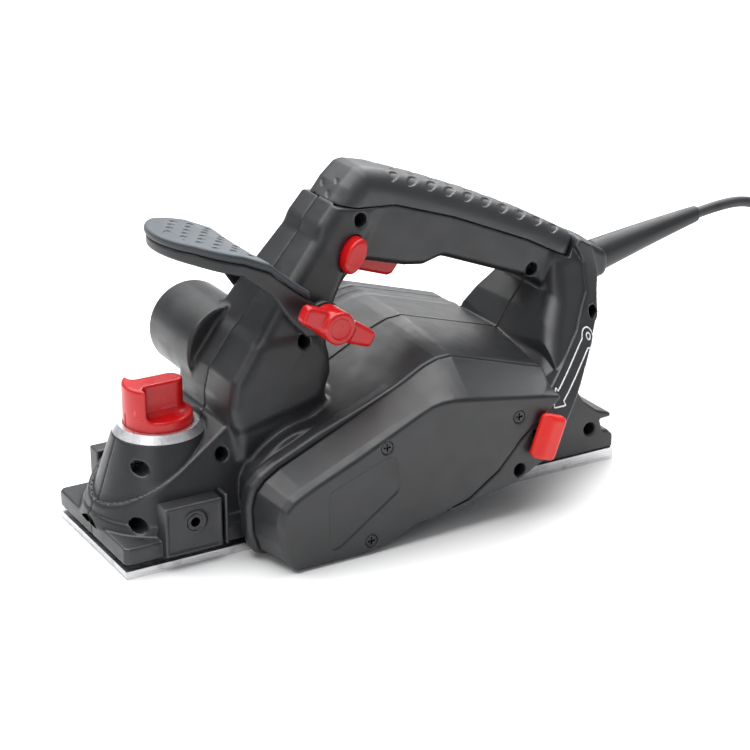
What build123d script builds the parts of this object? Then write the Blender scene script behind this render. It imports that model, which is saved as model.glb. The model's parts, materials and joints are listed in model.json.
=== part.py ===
from build123d import *
import os
from math import pi, radians, tan

# Electric hand planer, 82 mm class. Millimetres, +Z up, +X from the front edge to the rear, -Y to
# the belt side. X below is measured from the front edge of the front sole; save() moves every piece
# so that the origin lies on the rear sole's bottom face, at mid-width, under the motor's axis.

# ---- driving dimensions ----
SOLE_LENGTH = 290.0
SOLE_HALF = 42.0            # half the soles' width
FRONT_SOLE_THICK = 4.2
REAR_SOLE_THICK = 6.6
SOLE_GAP = 2.7              # room above the front sole for the depth setting
FRONT_SOLE_END = 87.5
REAR_SOLE_START = 113.5

DRUM_X, DRUM_Z = 101.0, 28.3
DRUM_R = 27.0
BLADE_TIP_R = 28.2
BLADE_LENGTH = 82.0
MOTOR_X, MOTOR_Z = 178.0, 55.0
MOTOR_BORE_R = 31.5          # room for the motor
MOTOR_PULLEY_R = 10.5
DRUM_PULLEY_R = 15.0
BELT_THICK = 2.4
SHAFT_R = 4.0               # motor shaft
DRUM_SHAFT_R = 5.0

SEAM_Y = -55.0              # belt cover meets housing
FACE_Y = -78.0              # belt cover's outer face
SIDE_Y = 43.5               # right side of the housing
CAP_Y = 52.0                # motor end cap meets the housing
CAP_END_Y = 64.0
WALL = 3.0

KNOB_X = 38.7
RING_Z = 57.3               # top of the tower
RING_R = 23.3
KNOB_R = 17.6
KNOB_TOP = 83.0
SPINDLE_R = 4.0

COLUMN_FOOT_HALF = 33.0
COLUMN_TOP_HALF = 19.0
HANDLE_HALF = 18.0

PIVOT_X, PIVOT_Z = 116.0, 111.0     # palm rest pivot
PALM_HALF = 34.0
PALM_BOLT_R = 3.0

TUBE_X, TUBE_Z = 86.2, 84.8         # chip outlet
TUBE_R = 23.1
TUBE_BORE_R = 20.5
TUBE_END_Y = 62.0

BUTTON_X, BUTTON_Z, BUTTON_TILT = 137.5, 138.0, 62.0
BUTTON_LONG, BUTTON_SHORT = 10.0, 6.4
TRIGGER_PIN_X, TRIGGER_PIN_Z = 152.5, 134.5

CORD_R = 3.1
CORD_Z = 101.5                      # where the cord leaves the handle
CORD_EXIT_X = 299.0

RUN = 0.05                  # radial play of a running fit
SNUG = 0.02                 # play of parts that only sit together
GAP = 0.3                   # gap between parts that move past each other

# ---- outlines in the XZ plane (side view) ----
# belt cover and its base: the seam at SEAM_Y, then the flat face at FACE_Y, point for point
SEAM = [(66, 6), (63, 16), (62.6, 29.5), (64.7, 37.4), (69.6, 42.7), (77.3, 47.5), (108.3, 60.9),
        (147.8, 78.6), (160, 85), (168, 87.5), (176, 87.8), (233, 70), (231, 63), (205, 43), (192, 29),
        (174, 17), (151, 11), (145, 10.6), (118, 1.6), (73.5, 1.6)]
FACE = [(73, 4), (70, 14), (67.8, 26.8), (69.6, 33.6), (74.3, 38), (85.8, 43.6), (109, 53),
        (145, 69.8), (152, 72.6), (158, 73.4), (165, 73), (229, 62.6), (228.5, 60.5), (205, 43), (192, 29),
        (174, 17), (151, 11), (145, 10.6), (118, 1.8), (74, 1.8)]
# body over motor and drum at mid-width, point for point with SEAM
MIDDLE = [(70, 8), (70, 16), (70, 29.5), (70, 37.4), (73, 44), (80, 50), (112, 62),
          (147.8, 80.2), (163, 87.6), (171, 90.4), (180, 91), (239, 73.3), (243, 63), (240, 43), (238, 29),
          (238, 17), (200, 11), (180, 10), (118, 8), (90, 8)]
# the motor's bulge on the right
BULGE = [(140, 20), (140, 76.5), (147.8, 80.2), (163, 87.6), (171, 90.4), (180, 91), (239, 73.3),
         (243, 63), (240, 43), (238, 29), (232, 20)]
COLUMN = [(66.5, 40), (66, 72), (68.8, 83.5), (93.6, 116.8), (108.9, 134.9), (133, 163), (160, 163),
          (155, 156), (142, 136), (135, 127), (127, 113), (122, 97), (119, 80), (119, 40)]
HANDLE = [(122, 152), (132, 163), (140, 173), (149.5, 175), (162, 172.6), (191, 162), (221.5, 149.6),
          (253, 135), (282, 120), (300, 110), (300, 96), (258, 97), (246, 105), (194, 125.5), (183, 122.6),
          (172, 124.2), (148, 131.2), (130, 120)]
GRIP = [(131, 162.5), (134.5, 166.5), (138, 171), (146, 178), (150, 178.8), (162.3, 175.9), (190.8, 165.2),
        (221.5, 152.4), (253.2, 137.5), (279.6, 123.1), (272, 112.5), (246, 126.5), (200, 146.5),
        (165, 158.5), (143, 160)]
REAR_FRAME = [(239, 71), (248, 86), (257.7, 97), (262, 118), (279.6, 121.5), (290, 117.5), (299, 110),
              (299.5, 98), (293, 83), (279, 69), (257, 55), (238.5, 42), (220.5, 29), (200, 19.5), (175, 13.5),
              (158, 11.3), (151, 11), (174, 17), (192, 29), (205, 43), (231, 63)]
DECK = [(113.5, 6.6), (290, 6.6), (290, 14), (286.5, 17.5), (283, 18), (281, 24.5), (288, 24.8), (288, 27),
        (279, 30.5), (270, 37.5), (264, 47), (262, 60), (235, 60), (113.5, 30)]
# palm rest: top of the soft pad, from tip to pivot
PALM_TOP = [(36, 160.6), (50, 158.3), (72, 151.6), (86, 145.2), (97, 135.5), (108, 126.6)]
PALM_PAD_THICK = 4.6

# housing screws: x, z and the Y of the surface round the hole
HOUSING_SCREWS = [(144, 154), (107, 99), (249.5, 109), (281.5, 83), (205, 26), (274, 20.5),
                  (59.2, 49), (20, 46), (13.5, 20.5)]
COVER_SCREWS = [(126, 56), (117, 7.5), (203.6, 56)]


# ---- small makers ----
def block(x0, x1, y0, y1, z0, z1):
    return Pos((x0 + x1) / 2, (y0 + y1) / 2, (z0 + z1) / 2) * Box(x1 - x0, y1 - y0, z1 - z0)


def rod(x, z, r, y0, y1):
    """A round bar along Y."""
    return Pos(x, (y0 + y1) / 2, z) * Rot(90, 0, 0) * Cylinder(r, y1 - y0)


def post(x, y, r, z0, z1):
    """A round bar along Z."""
    return Pos(x, y, (z0 + z1) / 2) * Cylinder(r, z1 - z0)


def side_face(outline, y=0.0, radius=0.0):
    """A face in the side view, at one Y, its corners rounded where radius is given."""
    if radius:
        wire = FilletPolyline(*outline, radius=radius, close=True)
    else:
        wire = Polyline(*outline, close=True)
    return Pos(0, y, 0) * (Plane.XZ * make_face(wire))


def side_prism(outline, y0, y1, radius=0.0):
    return extrude(side_face(outline, y0, radius), amount=y1 - y0, dir=(0, 1, 0))


def plan_prism(face, z0, z1):
    return extrude(Pos(0, 0, z0) * face, amount=z1 - z0, dir=(0, 0, 1))


def front_prism(face, x0, x1):
    """A face drawn in (y, z), run along X."""
    return extrude(Pos(x0, 0, 0) * (Plane.YZ * face), amount=x1 - x0, dir=(1, 0, 0))


def belt_loop(motor_r, drum_r, y0, y1):
    """The outline round both pulleys, run along Y."""
    circles = Pos(MOTOR_X, MOTOR_Z) * Circle(motor_r) + Pos(DRUM_X, DRUM_Z) * Circle(drum_r)
    return extrude(Pos(0, y0, 0) * (Plane.XZ * make_hull(circles.edges())), amount=y1 - y0, dir=(0, 1, 0))


def ruled(*sections):
    """A straight-sided solid through sections, each (outline, y), point for point."""
    wires = [Wire.make_polygon([(x, y, z) for x, z in outline]) for outline, y in sections]
    return Solid.make_loft(wires, ruled=True)


def ring_y(x, z, outer, inner, y0, y1):
    return rod(x, z, outer, y0, y1) - rod(x, z, inner, y0 - 1, y1 + 1)


def coil_spring(radius, wire, turns, height):
    """A round-wire compression spring that stands on Z = 0."""
    pitch = (height - wire) / turns
    path = Helix(pitch, pitch * turns, radius)
    start = path @ 0
    section = Plane(start, x_dir=(1, 0, 0), z_dir=path % 0) * Circle(wire / 2)
    return Pos(0, 0, wire / 2) * sweep(section, path=path)


def toward(x, y, z, direction, shape):
    """Places a shape made along +Z so that it runs along direction from the point."""
    return Plane(origin=(x, y, z), z_dir=direction) * shape


# ---- the housing's outer form ----
def flank_profile():
    """Rear frame seen from behind: a foot that flares out, and a narrow neck under the handle."""
    neck = HANDLE_HALF
    left, right = FACE_Y, 50.0
    low, mid, high = 34.0, 76.0, 118.0
    half_left = (left - neck) / 2
    half_right = (right + neck) / 2
    edges = [
        Line((left, 0), (left, low)),
        TangentArc((left, low), (half_left, mid), tangent=(0, 1)),
        TangentArc((-neck, high), (half_left, mid), tangent=(0, -1)),
        Line((-neck, high), (-neck, 130)),
        Line((-neck, 130), (neck, 130)),
        Line((neck, 130), (neck, high)),
        TangentArc((neck, high), (half_right, mid), tangent=(0, -1)),
        TangentArc((right, low), (half_right, mid), tangent=(0, 1)),
        Line((right, low), (right, 0)),
        Line((right, 0), (left, 0)),
    ]
    return make_face(edges)


def tower_and_nose():
    """Front block, sloping body and the cone under the depth knob."""
    plan = Pos(63.25, 0) * RectangleRounded(123.5, 2 * SOLE_HALF, 34)
    plan += Pos(90, 0) * Rectangle(70, 2 * SOLE_HALF)
    slope = side_prism([(1, 15), (1, 26), (66, 72), (125, 72), (125, 15)], -45, 45)
    arch = make_face([
        Line((-SOLE_HALF, 10), (-SOLE_HALF, 50)),
        ThreePointArc((-SOLE_HALF, 50), (0, 74), (SOLE_HALF, 50)),
        Line((SOLE_HALF, 50), (SOLE_HALF, 10)),
        Line((SOLE_HALF, 10), (-SOLE_HALF, 10)),
    ])
    nose = plan_prism(plan, 15, 80) & slope & front_prism(arch, 0, 126)
    base = block(0, 92, -SOLE_HALF, SOLE_HALF, FRONT_SOLE_THICK + SOLE_GAP, 16)
    base = fillet(base.edges().filter_by(Axis.Z).sort_by(Axis.X)[:2], 3)
    cone = Pos(KNOB_X, 0, (RING_Z + 27) / 2) * Cone(34.0, RING_R, RING_Z - 27)
    outer = base + nose + cone
    for side in (-1, 1):
        outer += block(20, 50.4, *sorted((side * 40, side * 46)), 7.9, 33.6)
        outer += block(52.5, 54.7, *sorted((side * 40, side * 45)), 7.9, 34.4)
    return outer


def column():
    """The front column that carries the palm rest: it narrows towards the handle."""
    taper = make_face(Polyline(
        (-COLUMN_FOOT_HALF, 35), (-COLUMN_FOOT_HALF, 62), (-COLUMN_TOP_HALF, 158), (-COLUMN_TOP_HALF, 170),
        (COLUMN_TOP_HALF, 170), (COLUMN_TOP_HALF, 158), (COLUMN_FOOT_HALF, 62), (COLUMN_FOOT_HALF, 35),
        close=True))
    return side_prism(COLUMN, -40, 40) & front_prism(taper, 55, 170)


def handle():
    return side_prism(HANDLE, -HANDLE_HALF, HANDLE_HALF)


def body():
    """Belt side base with the motor and drum housing, and the motor's bulge on the right."""
    return ruled((SEAM, SEAM_Y), (MIDDLE, 0), (MIDDLE, SIDE_Y)) + side_prism(BULGE, SIDE_Y - 3, CAP_Y)


def outer_form():
    rear = side_prism(REAR_FRAME, FACE_Y - 2, 60) & front_prism(flank_profile(), 130, 310)
    deck = side_prism(DECK, -SOLE_HALF, SOLE_HALF)
    tube = rod(TUBE_X, TUBE_Z, TUBE_R, 20, TUBE_END_Y)
    form = tower_and_nose() + column() + handle() + body() + rear + deck + tube
    return form


def belt_cover_form():
    deep = [((2 * fx + sx) / 3, (2 * fz + sz) / 3) for (fx, fz), (sx, sz) in zip(FACE, SEAM)]
    return ruled((SEAM, SEAM_Y), (deep, FACE_Y + 4), (FACE, FACE_Y))


# ---- the housing's inside ----
CHIP_PASSAGE = [(76, 48), (76, 84), (84, 96), (99, 100), (99, 84), (108, 70), (108, 50)]
COLUMN_ROOM = [(110, 119), (118, 128), (133, 148), (148, 155), (150, 148), (140, 138), (131, 127), (126, 119)]
HANDLE_ROOM = [(140, 158), (150, 170.5), (162, 168.5), (191, 158), (221.5, 145.5), (253, 131), (282, 115.5),
               (292, 109), (292, 99.8), (262, 100.5), (247, 108.8), (194, 129.4), (184, 126.6), (172, 128.4),
               (152, 134), (140, 140)]
FRAME_ROOM = [(262, 99), (262, 112), (292, 109), (293, 99), (287, 84), (273, 71), (252, 58), (235, 46),
              (229, 42), (229, 56), (240, 66), (250, 80)]
DECK_ROOM = [(236, 10), (278, 10), (278, 15), (268, 24), (260, 34), (254, 44), (240, 36), (236, 30)]
LEFT_BEARING_Y = (-50.0, -43.0)         # motor and drum bearings in the belt side's base
RIGHT_BEARING_Y = (53.0, 60.0)          # motor bearing in the end cap
DRUM_RIGHT_BEARING_Y = (34.5, 41.4)
MOTOR_BEARING_R, DRUM_BEARING_R = 11.0, 13.0
SPRING_SPOTS = [(26, -24), (26, 24), (62, -18), (62, 18)]
SOLE_SCREW_SPOTS = [(x, y) for x in (142, 212, 272) for y in (-32, 32)]
FENCE_X, FENCE_Z, FENCE_THREAD_R, FENCE_NUT_R = 36.0, 24.4, 2.5, 4.2
WRENCH_X, WRENCH_Z = 218.5, 43.5
END_CAP_SCREWS = [(146.5, 30), (234, 32), (233, 68)]
SWITCH_Z = (137.0, 153.0)
CAPACITOR_Z = (130.0, 142.0)
CLAMP_X, CLAMP_Z = 272.0, 97.0           # the bar that holds the lead, below its two pads
CLAMP_SCREW_Y = (-10.0, 10.0)
RELIEF_NECK_R, RELIEF_ROOT_R, RELIEF_TAIL_R = 7.8, 9.5, 4.5
TRIGGER_PIN_R = 1.5


def ellipse_y(long, short, y0, y1):
    """An elliptical bar along -Y at the lock button, tilted along the column."""
    face = Pos(BUTTON_X, BUTTON_Z) * Rot(0, 0, BUTTON_TILT) * Ellipse(long, short)
    return extrude(Pos(0, y0, 0) * (Plane.XZ * face), amount=y1 - y0, dir=(0, 1, 0))


def inside():
    """Every room and bore of the housing except the screw holes."""
    rooms = [
        block(-2, 92, -SOLE_HALF - 0.4, SOLE_HALF + 0.4, -5, FRONT_SOLE_THICK + SOLE_GAP),
        block(90, 295, -SOLE_HALF - 0.4, SOLE_HALF + 0.4, -5, REAR_SOLE_THICK),
        rod(DRUM_X, DRUM_Z, BLADE_TIP_R + 1, -41.4, 41.4),
        block(FRONT_SOLE_END, REAR_SOLE_START, -41.4, 41.4, 0, 22),
        rod(MOTOR_X, MOTOR_Z, MOTOR_BORE_R, -41.4, CAP_Y + 1),
        rod(MOTOR_X, MOTOR_Z, MOTOR_BEARING_R + SNUG, LEFT_BEARING_Y[0], -41),
        rod(MOTOR_X, MOTOR_Z, SHAFT_R + 2, SEAM_Y - 1, -41),
        rod(DRUM_X, DRUM_Z, DRUM_BEARING_R + SNUG, LEFT_BEARING_Y[0], -41),
        rod(DRUM_X, DRUM_Z, DRUM_SHAFT_R + 2, SEAM_Y - 1, -41),
        side_prism(CHIP_PASSAGE, -26, 26),
        rod(TUBE_X, TUBE_Z, TUBE_BORE_R, 24, TUBE_END_Y + 1),
        side_prism(COLUMN_ROOM, -13, 13),
        side_prism(HANDLE_ROOM, -14.5, 14.5),
        side_prism(FRAME_ROOM, -14, 14),
        side_prism(DECK_ROOM, -36, 36),
        block(136, 232, -35.5, 35.5, 9.5, 19.5),
        block(147, 178, -9.4, 9.4, 110, 136),
        block(5, 92, -34, 34, 6, 16),
        post(KNOB_X, 0, RING_R + GAP, RING_Z, KNOB_TOP),
        post(KNOB_X, 0, 10.0 + RUN, 14, 31),
        post(KNOB_X, 0, 17, 30, 52),
        post(KNOB_X, 0, SPINDLE_R + GAP, 50, 60),
        rod(PIVOT_X, PIVOT_Z, PALM_BOLT_R + RUN, -45, 45),
        ellipse_y(BUTTON_LONG + GAP, BUTTON_SHORT + GAP, -30, -12),
        ellipse_y(BUTTON_LONG + 2.2, BUTTON_SHORT + 2.2, -13.6, -4),
        block(212.5, 224.5, FACE_Y - 2, 18, 40.5, 46.5),
        toward(294, 0, CORD_Z, (1, 0, 0), Cylinder(RELIEF_NECK_R + SNUG, 24)),
        rod(TRIGGER_PIN_X, TRIGGER_PIN_Z, 3.6, -9.4, 9.4),
        rod(TRIGGER_PIN_X, TRIGGER_PIN_Z, TRIGGER_PIN_R + SNUG, -17, 17),
    ]
    for x, y in SPRING_SPOTS:
        rooms.append(post(x, y, 5.2, 15, 22))
    for side in (-1, 1):
        rooms.append(rod(FENCE_X, FENCE_Z, FENCE_NUT_R + SNUG, *sorted((side * 36, side * 47))))
    return rooms


def screw_bosses():
    bosses = [rod(x, z, 5.6, -16, 14) for x, z in HOUSING_SCREWS]
    bosses += [post(x, y, 5.0, REAR_SOLE_THICK, 19.6) for x, y in SOLE_SCREW_SPOTS]
    collar = ring_y(DRUM_X, DRUM_Z, DRUM_BEARING_R + 2, DRUM_BEARING_R + SNUG, 34.5, SIDE_Y)
    switch_ribs = [block(184, 187, -15, 15, 126, SWITCH_Z[0]), block(180, 183, -15, 15, SWITCH_Z[1], 164)]
    capacitor_rib = block(210, 213, -15, 15, 116, CAPACITOR_Z[0])
    spring_rib = block(128, 146, -4, -1, 130, 147)
    clamp_pads = [block(268, 276, *sorted((side * 6.5, side * 14.5)), CLAMP_Z, 113) for side in (-1, 1)]
    return bosses + [collar, capacitor_rib, spring_rib] + switch_ribs + clamp_pads


def screw_holes():
    holes = []
    for x, z in HOUSING_SCREWS:
        holes.append(rod(x, z, 3.6, FACE_Y - 5, -10))
        holes.append(rod(x, z, 2.0, -11, 12))
    for x, y in SOLE_SCREW_SPOTS:
        holes.append(post(x, y, 2.0, 0, 17))
    for x, z in COVER_SCREWS:
        holes.append(rod(x, z, 1.6, SEAM_Y - 1, SEAM_Y + 11))
    for x, z in END_CAP_SCREWS:
        holes.append(rod(x, z, 1.65, CAP_Y - 8, CAP_Y + 1))
    for y in CLAMP_SCREW_Y:
        holes.append(post(CLAMP_X, y, 1.45, CLAMP_Z - 1, CLAMP_Z + 9))
    return holes


def housing_halves(cover):
    form = outer_form()
    shell = form
    for room in inside():
        shell -= room
    for boss in screw_bosses():
        shell += boss & form
    for hole in screw_holes():
        shell -= hole
    shell -= cover
    grip_seat = side_prism(GRIP, -30, 30) & handle_with_grip()
    shell -= grip_seat
    left = shell & block(-10, 320, -100, 0, -10, 200)
    right = shell & block(-10, 320, 0, 100, -10, 200)
    return biggest(left), biggest(right)


def handle_with_grip():
    return side_prism(GRIP, -HANDLE_HALF - 1, HANDLE_HALF + 1) - side_prism(HANDLE_ROOM, -14.5, 14.5)


# ---- covers, grip and fasteners ----
def biggest(shape):
    return shape.solids().sort_by(SortBy.VOLUME)[-1]


def belt_cover():
    room = belt_loop(MOTOR_PULLEY_R + 4.3, DRUM_PULLEY_R + 4.5, FACE_Y + 3, SEAM_Y + 1)
    cover = belt_cover_form() - room
    for x, z in COVER_SCREWS:
        cover = cover - rod(x, z, 1.8, FACE_Y - 1, SEAM_Y + 1) - rod(x, z, 3.3, FACE_Y - 1, FACE_Y + 3)
    return cover


def motor_end_cap():
    cap = side_prism(BULGE, CAP_Y, CAP_END_Y, 4) - rod(MOTOR_X, MOTOR_Z, 29, CAP_Y - 1, CAP_END_Y - 3)
    boss = ring_y(MOTOR_X, MOTOR_Z, 14, MOTOR_BEARING_R + SNUG, RIGHT_BEARING_Y[0], CAP_END_Y - 1)
    cap = cap + boss - rod(MOTOR_X, MOTOR_Z, MOTOR_BEARING_R + SNUG, CAP_Y - 1, RIGHT_BEARING_Y[1])
    slot = block(MOTOR_X - 1.4, MOTOR_X + 1.4, CAP_END_Y - 4, CAP_END_Y + 1, MOTOR_Z + 16.5, MOTOR_Z + 27)
    for turn in range(0, 360, 24):
        cap -= turned(MOTOR_X, MOTOR_Z, turn, slot)
    for x, z in END_CAP_SCREWS:
        cap = cap - rod(x, z, 1.8, CAP_Y - 1, CAP_END_Y + 1) - rod(x, z, 3.4, CAP_END_Y - 3, CAP_END_Y + 1)
    return cap


def screw(x, z, head_r, shank_r, head_y, length, head=2.2):
    """A pan-head screw along +Y whose head sits from head_y - head to head_y."""
    body = rod(x, z, head_r, head_y - head, head_y) + rod(x, z, shank_r, head_y - 0.1, head_y + length)
    cross = block(x - 2, x + 2, head_y - head - 1, head_y - head + 1, z - 0.45, z + 0.45)
    return body - cross - turned(x, z, 90, cross)


def group(shapes):
    return Compound(children=[biggest(s) for s in shapes])


def housing_screws():
    return group([screw(x, z, 3.3, 1.95, -10.05, 21) for x, z in HOUSING_SCREWS])


def belt_cover_screws():
    return group([screw(x, z, 3.1, 1.55, FACE_Y + 2.95, 30, 2.4) for x, z in COVER_SCREWS])


def end_cap_screws():
    shapes = []
    for x, z in END_CAP_SCREWS:
        head = rod(x, z, 3.2, CAP_END_Y - 2.9, CAP_END_Y - 0.6)
        shapes.append(head + rod(x, z, 1.6, CAP_Y - 7, CAP_END_Y - 2.8))
    return group(shapes)


# ---- soles and depth setting ----
def blade_sweep(drop=0.0):
    return rod(DRUM_X, DRUM_Z - drop, BLADE_TIP_R + 1, -60, 60)


def rear_sole():
    sole = block(REAR_SOLE_START, SOLE_LENGTH, -SOLE_HALF, SOLE_HALF, 0, REAR_SOLE_THICK) - blade_sweep()
    for x, y in SOLE_SCREW_SPOTS:
        sole -= post(x, y, 2.2, -1, REAR_SOLE_THICK + 1)
        sole -= Pos(x, y, 1.5) * Cone(4.6, 2.2, 3.0)
    return sole


def rear_sole_screws():
    shapes = []
    for x, y in SOLE_SCREW_SPOTS:
        head = Pos(x, y, 1.6) * Cone(4.4, 2.0, 2.6)
        socket = plan_prism(Pos(x, y) * RegularPolygon(1.5, 6), 0.1, 1.6)
        shapes.append(head + post(x, y, 1.95, 2.8, 16.5) - socket)
    return group(shapes)


def front_sole():
    plate = block(0, FRONT_SOLE_END, -SOLE_HALF, SOLE_HALF, 0, FRONT_SOLE_THICK)
    plate = chamfer(plate.edges().filter_by(Axis.Y).group_by(Axis.X)[0].sort_by(Axis.Z)[:1], 1.2)
    vee = front_prism(make_face(Polyline((-2.5, -0.5), (0, 2.2), (2.5, -0.5), close=True)), -1, 70)
    carrier = block(8, 84, -31.5, 31.5, FRONT_SOLE_THICK, 12)
    guide = post(KNOB_X, 0, 10.0, 12, 44) - post(KNOB_X, 0, SPINDLE_R + RUN, 13, 45)
    return plate - vee + carrier + guide - blade_sweep() - blade_sweep(2.2)


def front_sole_springs():
    return group([Pos(x, y, 12.02) * coil_spring(3.6, 0.9, 4, 9.9) for x, y in SPRING_SPOTS])


def depth_spindle():
    return post(KNOB_X, 0, SPINDLE_R, 20, 72) + post(KNOB_X, 0, 9, 49.4, 51.7)


def depth_knob():
    base = post(KNOB_X, 0, KNOB_R, RING_Z + GAP, 68.5)
    bar = block(KNOB_X - KNOB_R, KNOB_X + 13.5, -6, 6, 66, KNOB_TOP)
    bar = fillet(bar.edges().filter_by(Axis.Z).sort_by(Axis.X)[2:], 5.5)
    bar &= post(KNOB_X, 0, KNOB_R, 60, 90)
    bar = fillet(bar.faces().sort_by(Axis.Z)[-1].edges(), 2)
    pointer = block(KNOB_X - KNOB_R - 1, KNOB_X - KNOB_R + 0.5, -0.6, 0.6, 60, 68)
    return base + bar - post(KNOB_X, 0, SPINDLE_R + SNUG, 50, 72.1) - pointer


def depth_scale_ring():
    cone = Pos(KNOB_X, 0, RING_Z + 1.95) * Cone(RING_R, 20.4, 3.9)
    ring = cone - post(KNOB_X, 0, KNOB_R + GAP, 50, 70)
    tick = block(KNOB_X - 22.6, KNOB_X - 18.6, -0.25, 0.25, RING_Z + 3.6, RING_Z + 5)
    for step in range(12):
        ring -= Pos(KNOB_X, 0, 0) * Rot(0, 0, 30 * step) * Pos(-KNOB_X, 0, 0) * tick
    return ring


def fence_nuts():
    nuts = []
    for side in (-1, 1):
        inner, outer = side * 36.05, side * 46
        nuts.append(ring_y(FENCE_X, FENCE_Z, FENCE_NUT_R, FENCE_THREAD_R, *sorted((inner, outer))))
    return group(nuts)


# ---- cutter drum and belt drive ----
BLADE_SCREW_X = DRUM_X - 0.55
BLADE_SCREW_HEAD_R = 2.45
BLADE_SCREW_Y = (-26, 0, 26)
PULLEY_Y = (-71.5, -58.5)


def turned(x, z, turn, shape):
    """The shape turned by an angle about the axis along Y through x, z."""
    return Pos(x, 0, z) * Rot(0, turn, 0) * Pos(-x, 0, -z) * shape


def about_drum(turn, shape):
    return turned(DRUM_X, DRUM_Z, turn, shape)


def cutter_drum():
    drum = rod(DRUM_X, DRUM_Z, DRUM_R, -41, 41)
    drum += rod(DRUM_X, DRUM_Z, DRUM_SHAFT_R, -71.5, 41.4)
    drum -= ring_y(DRUM_X, DRUM_Z, DRUM_BEARING_R + 4, DRUM_SHAFT_R, 33.5, 42)
    for turn in (0, 180):
        slot = block(DRUM_X - 4.2, DRUM_X + 2.0, -42, 42, DRUM_Z + 18, DRUM_Z + 40)
        throat = Pos(DRUM_X - 9, 0, DRUM_Z + 28.5) * Rot(0, 30, 0) * Box(12, 84, 7)
        drum -= about_drum(turn, slot + throat)
        for y in BLADE_SCREW_Y:
            drum -= about_drum(turn, post(BLADE_SCREW_X, y, 1.65, DRUM_Z + 9, DRUM_Z + 20))
    return drum


def blade(turn):
    edge = side_prism([(-4.2, 22.6), (-3.1, 22.6), (-3.1, BLADE_TIP_R - 1.0), (-4.1, BLADE_TIP_R - 0.35),
                       (-4.2, BLADE_TIP_R - 0.4)], -BLADE_LENGTH / 2, BLADE_LENGTH / 2)
    return about_drum(turn, Pos(DRUM_X, 0, DRUM_Z) * edge)


def blade_clamps():
    shapes = []
    for turn in (0, 180):
        bar = block(DRUM_X - 3.08, DRUM_X + 1.98, -40.5, 40.5, DRUM_Z + 18.02, DRUM_Z + 26.2)
        foot = block(DRUM_X - 4.18, DRUM_X - 3.0, -40.5, 40.5, DRUM_Z + 18.02, DRUM_Z + 22.58)
        for y in BLADE_SCREW_Y:
            bar -= post(BLADE_SCREW_X, y, BLADE_SCREW_HEAD_R + 0.15, DRUM_Z + 23.6, DRUM_Z + 30)
            bar -= post(BLADE_SCREW_X, y, 1.7, DRUM_Z + 10, DRUM_Z + 30)
        shapes.append(about_drum(turn, bar + foot))
    return group(shapes)


def clamp_screws():
    shapes = []
    for turn in (0, 180):
        for y in BLADE_SCREW_Y:
            head = post(BLADE_SCREW_X, y, BLADE_SCREW_HEAD_R, DRUM_Z + 23.65, DRUM_Z + 26)
            shank = post(BLADE_SCREW_X, y, 1.6, DRUM_Z + 10, DRUM_Z + 24)
            socket = plan_prism(Pos(BLADE_SCREW_X, y) * RegularPolygon(1.3, 6), DRUM_Z + 24.6, DRUM_Z + 27)
            shapes.append(about_drum(turn, head + shank - socket))
    return group(shapes)


def pulley(x, z, radius, bore, y0, y1):
    body = rod(x, z, radius, y0, y1)
    for y in (y0, y1 - 1.2):
        body += rod(x, z, radius + BELT_THICK + 0.8, y, y + 1.2)
    return body - rod(x, z, bore, y0 - 1, y1 + 1)


def drive_belt():
    y0, y1 = PULLEY_Y[0] + 1.5, PULLEY_Y[1] - 1.5
    outer = belt_loop(MOTOR_PULLEY_R + BELT_THICK, DRUM_PULLEY_R + BELT_THICK, y0, y1)
    return outer - belt_loop(MOTOR_PULLEY_R + RUN, DRUM_PULLEY_R + RUN, y0 - 1, y1 + 1)


# ---- motor ----
STACK_Y = (-28.0, 22.0)


def stator_core():
    ring = ring_y(MOTOR_X, MOTOR_Z, MOTOR_BORE_R - SNUG, 17.3, *STACK_Y)
    flats = block(MOTOR_X - 26, MOTOR_X + 26, -40, 40, MOTOR_Z - 40, MOTOR_Z + 40)
    return ring & flats


def field_windings():
    shapes = []
    for y0, y1 in ((-33.2, STACK_Y[0] - 0.05), (STACK_Y[1] + 0.05, 28)):
        coil = ring_y(MOTOR_X, MOTOR_Z, 27.5, 18.5, y0, y1)
        coil -= block(MOTOR_X - 40, MOTOR_X + 40, -50, 50, MOTOR_Z - 3, MOTOR_Z + 3)
        shapes += list(coil.solids())
    return group(shapes)


def armature_core():
    core = ring_y(MOTOR_X, MOTOR_Z, 16.7, SHAFT_R + SNUG, *STACK_Y)
    slot = block(MOTOR_X - 0.9, MOTOR_X + 0.9, STACK_Y[0] - 1, STACK_Y[1] + 1, MOTOR_Z + 10, MOTOR_Z + 18)
    for turn in range(0, 360, 30):
        core -= turned(MOTOR_X, MOTOR_Z, turn, slot)
    return core


def armature_windings():
    ends = ((-33, STACK_Y[0] - 0.05), (STACK_Y[1] + 0.05, 28))
    return group([ring_y(MOTOR_X, MOTOR_Z, 14.5, SHAFT_R + SNUG, y0, y1) for y0, y1 in ends])


def commutator():
    drum = ring_y(MOTOR_X, MOTOR_Z, 11, SHAFT_R + SNUG, 30, 42)
    slit = block(MOTOR_X - 0.3, MOTOR_X + 0.3, 31, 43, MOTOR_Z + 9.5, MOTOR_Z + 12)
    for turn in range(0, 360, 15):
        drum -= turned(MOTOR_X, MOTOR_Z, turn, slit)
    return drum


def cooling_fan():
    fan = ring_y(MOTOR_X, MOTOR_Z, 8, SHAFT_R + SNUG, -40.5, -34)
    fan += ring_y(MOTOR_X, MOTOR_Z, 28.5, 7, -40.5, -39.3)
    vane = block(MOTOR_X - 0.6, MOTOR_X + 0.6, -39.5, -34, MOTOR_Z + 7, MOTOR_Z + 28)
    for turn in range(0, 360, 30):
        fan += turned(MOTOR_X, MOTOR_Z, turn, vane)
    return fan


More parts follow.
